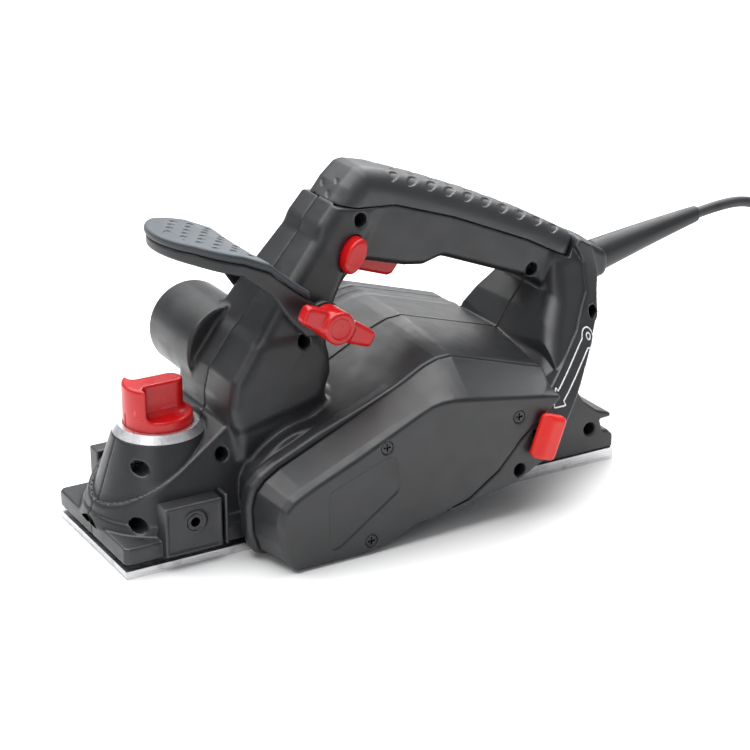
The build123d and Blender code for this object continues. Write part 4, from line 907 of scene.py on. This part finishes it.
def trigger(x, y, z):
    shape = [(148.2, 133), (147.7, 124.8), (150, 123), (166.8, 117.2), (169.6, 117.8), (174.6, 124.2),
             (174.6, 133)]
    lever = meet(outline(shape, x, z, 1.5), np.abs(y) - 9.0, r=2.2)
    lever = join(lever, meet(disc(x, z, 152.5, 134.5, 3.2), np.abs(y) - 9.0, r=0.5), r=0.5)
    return less(lever, disc(x, z, 152.5, 134.5, 1.6))


def lock_button(x, y, z):
    stem = meet(lozenge(x, z), span(y, -28.5, -12.5), r=2.0)
    stem = less(stem, np.hypot(np.hypot(x - BUTTON_X, z - BUTTON_Z), y + 59) - 31.2, r=0.5)
    return join(stem, meet(lozenge(x, z, 1.4), span(y, -12.9, -11.4), r=0.3))


def wrench_grip(x, y, z):
    along, across = turn_about(x, z, WRENCH_X, WRENCH_Z, 70)
    middle = FACE_Y - 4.1
    grip = meet(np.abs(along) - 12, np.abs(across) - 7, np.abs(y - middle) - 3.9, r=3.0)
    facet = across * 0.64 - (y - middle) * 0.77 - 4.2
    grip = meet(grip, facet, r=0.8)
    return less(grip, cuboid(x, y, z, (214, 223), (FACE_Y - 1, 20), (42, 45)))


def build_controls():
    carved("depth_knob_red", depth_knob, (21, -18, 57), (57, 18, 83), 0.35, "depth_screw", "red_plastic",
           ["depth_knob"], 40000)
    carved("trigger_red", trigger, (147, -9, 117), (175, 9, 138), 0.4, "trigger_lever", "red_plastic",
           ["trigger"], 20000)
    carved("lock_button_red", lock_button, (128, -29, 126), (148, -11, 150), 0.35, "lock_pin",
           "red_plastic", ["lock_button"], 16000)
    carved("wrench_grip_red", wrench_grip, (209, -87, 31), (228, -78, 57), 0.35, "blade_wrench",
           "wrench_grip_red", ["wrench_grip"], 16000)


# ---- mains lead ----
CORD_R = 3.1
CORD_ROUTE = [(372, 0, 115.4), (392, 0, 118.5), (411, -1, 117), (427, -3, 108), (438, -5, 93),
              (444, -7, 75), (447, -8, 56), (451, -8.5, 37), (460, -8, 20), (473, -6.5, 8.5),
              (489, -5, 3.4), (505, -4, 3.4), (526, -4.7, 3.4)]
RELIEF_START_X, RELIEF_ROOT_R, RELIEF_TIP_R = 300.0, 9.5, 4.5
COIL_X, COIL_Y, COIL_FIRST_Z = 549.8, 36.2, 3.4
COIL_MEAN_R, COIL_COLUMNS, COIL_SLOTS = 34.0, 3, 11
STEP_OVER = 0.14            # share of a turn in which the lead moves on to its next place
POINTS_PER_TURN = 20
OUTSIDE_R = 46.6            # the last turn, which comes down outside the others
PLUG_X, PLUG_Y, PLUG_Z = 590.0, 66.2, 7.1
PLUG_ALONG = [0, 9, 14, 22, 36]
PLUG_HALF_WIDTH = [4.3, 5.2, 8.5, 12.2, 13.0]
PLUG_HALF_HEIGHT = [4.3, 5.0, 6.4, 6.8, 6.8]
PIN_SPACING, PIN_R = 18.6, 2.0


def coil_points():
    """Layers wound in, out, in and out again, then a turn that comes down outside them to the plug."""
    pitch = 2 * CORD_R + 0.1
    times, radii, heights = [], [], []
    for slot in range(COIL_SLOTS):
        layer, column = divmod(slot, COIL_COLUMNS)
        if layer % 2:
            column = COIL_COLUMNS - 1 - column
        start = slot * (1 - STEP_OVER)
        times += [start + STEP_OVER, start + 1 - STEP_OVER]
        radii += [COIL_MEAN_R + (COIL_COLUMNS // 2 - column) * pitch] * 2
        heights += [COIL_FIRST_Z + layer * pitch] * 2
    finish = math.ceil(times[-1] + 0.2) + 0.25
    times += [times[-1] + 0.25, finish]
    radii += [OUTSIDE_R, OUTSIDE_R]
    heights += [heights[-1], PLUG_Z]
    pull_in = math.cos(math.pi / POINTS_PER_TURN)
    points = []
    for step in range(round(finish * POINTS_PER_TURN) + 1):
        turn = step / POINTS_PER_TURN
        radius = float(np.interp(turn, times, radii)) / pull_in
        angle = 2 * math.pi * (turn - 0.25)
        points.append((COIL_X + radius * math.cos(angle), COIL_Y + radius * math.sin(angle),
                       float(np.interp(turn, times, heights))))
    return points


def mains_cord():
    bend = [(PLUG_X + 4.4, COIL_Y + 12, PLUG_Z), (PLUG_X + 1.2, COIL_Y + 21, PLUG_Z),
            (PLUG_X, PLUG_Y + 1, PLUG_Z)]
    route = [row_point(point) for point in CORD_ROUTE + coil_points() + bend]
    curve = bpy.data.curves.new("mains_lead", "CURVE")
    curve.dimensions = "3D"
    spline = curve.splines.new("NURBS")
    spline.points.add(len(route) - 1)
    for point, place in zip(spline.points, route):
        point.co = (*place, 1)
    spline.order_u = 3
    spline.use_endpoint_u = True
    spline.resolution_u = 6
    curve.bevel_depth = CORD_R * MM
    curve.bevel_resolution = 4
    curve.use_fill_caps = True
    lead = bpy.data.objects.new("mains_lead", curve)
    bpy.context.scene.collection.objects.link(lead)
    return dress(lead, "planer_body", "cord_rubber", ["mains_cord", "cord_coil"])


def strain_relief(x, y, z):
    """A tapering sleeve, thicker at its root, with a neck inside the handle's end."""
    tip_x, _, tip_z = CORD_ROUTE[0]
    along = np.clip((x - RELIEF_START_X) / (tip_x - RELIEF_START_X), 0, 1)
    middle = CORD_Z + (tip_z - CORD_Z) * (1.1 * along - 0.1 * along * along)
    reach = np.hypot(y, (z - middle) * 0.98)
    sleeve = meet(reach - RELIEF_ROOT_R + (RELIEF_ROOT_R - RELIEF_TIP_R) * along,
                  span(x, RELIEF_START_X, tip_x), r=0.9)
    neck = np.maximum(np.hypot(y, z - CORD_Z) - 7.6, span(x, 283.4, RELIEF_START_X + 2))
    tail = np.maximum(np.hypot(y, z - CORD_Z) - 4.4, span(x, 262.2, 284))
    return np.minimum(np.minimum(sleeve, neck), tail)


def mains_plug(x, y, z):
    """A flat two-pin plug with ribbed sides and a short sleeve on the lead."""
    along = y - PLUG_Y
    half_width = np.interp(along, PLUG_ALONG, PLUG_HALF_WIDTH).astype(np.float32)
    half_height = np.interp(along, PLUG_ALONG, PLUG_HALF_HEIGHT).astype(np.float32)
    body = meet(np.abs(x - PLUG_X) - half_width, np.abs(z - PLUG_Z) - half_height, r=4.2)
    body = meet(body, span(along, PLUG_ALONG[0], PLUG_ALONG[-1]), r=1.0)
    ribs = np.abs(along - 4 * np.round(along / 4)) - 0.7
    body = less(body, meet(ribs, span(along, 23, 33), 11.9 - np.abs(x - PLUG_X)), r=0.4)
    for side in (-1, 1):
        pin = disc(x, z, PLUG_X + side * PIN_SPACING / 2, PLUG_Z, PIN_R)
        body = less(body, np.maximum(pin, 27 - along))
    return body


def build_lead():
    relief = carved("lead_strain_relief", strain_relief, (262, -10, 91), (373, 10, 121), 0.6, "planer_body",
                    "cord_rubber", ["strain_relief"], 24000)
    plug = carved("lead_plug", mains_plug, (576, 66, 0), (604, 103, 14.5), 0.5, "planer_body",
                  "plug_plastic", ["mains_plug"], 24000)
    lead = mains_cord()


# ---- light, floor and camera ----
def area_light(name, place, aim, size, power, colour=(1, 1, 1)):
    data = bpy.data.lights.new(name, "AREA")
    data.shape = "RECTANGLE"
    data.size, data.size_y = size
    data.energy = power
    data.color = colour
    made = bpy.data.objects.new(name, data)
    bpy.context.scene.collection.objects.link(made)
    made.location = place
    made.rotation_euler = (Vector(aim) - Vector(place)).to_track_quat("-Z", "Y").to_euler()


def studio():
    half = 4.0
    floor = mesh_object("floor", [(-half / MM, -half / MM, 0), (half / MM, -half / MM, 0),
                                  (half / MM, half / MM, 0), (-half / MM, half / MM, 0)], [(0, 1, 2, 3)])
    paint = Paint("floor_paper", 0.8)
    paint.colour(paint.mix(paint.noise(6.0, 2.0), (0.9, 0.9, 0.9), (0.92, 0.92, 0.92)))
    floor.data.materials.append(paint.material)
    world = bpy.data.worlds.new("studio")
    world.use_nodes = True
    world.node_tree.nodes["Background"].inputs["Color"].default_value = (0.95, 0.97, 1.0, 1)
    world.node_tree.nodes["Background"].inputs["Strength"].default_value = 0.3
    scene = bpy.context.scene
    scene.world = world
    scene.view_settings.view_transform = "Standard"
    aim = (0, 0, 0.06)
    area_light("overhead", (-0.1, 0.7, 2.0), (0, 0.3, 0), (3.4, 3.0), 125)
    area_light("front_left", (-1.3, -0.9, 0.7), aim, (0.7, 0.9), 3.5)
    area_light("rear_right", (0.9, 0.8, 0.8), aim, (0.8, 0.8), 8)


def camera():
    azimuth, elevation, distance, lens = 0.5262786, 0.38414, 1.1576, 105.6
    target = Vector(row_point((164.05, 0, 59.8)))
    back = Vector((-math.sin(azimuth) * math.cos(elevation), -math.cos(azimuth) * math.cos(elevation),
                   math.sin(elevation)))
    data = bpy.data.cameras.new("camera")
    data.lens = lens
    made = bpy.data.objects.new("camera", data)
    made.location = target + back * distance
    made.rotation_euler = (-back).to_track_quat("-Z", "Y").to_euler()
    bpy.context.scene.collection.objects.link(made)
    bpy.context.scene.camera = made


camera()
studio()
dress_cad_nodes()
build_housing()
build_covers()
build_palm_rest()
build_mark()
build_controls()
build_lead()
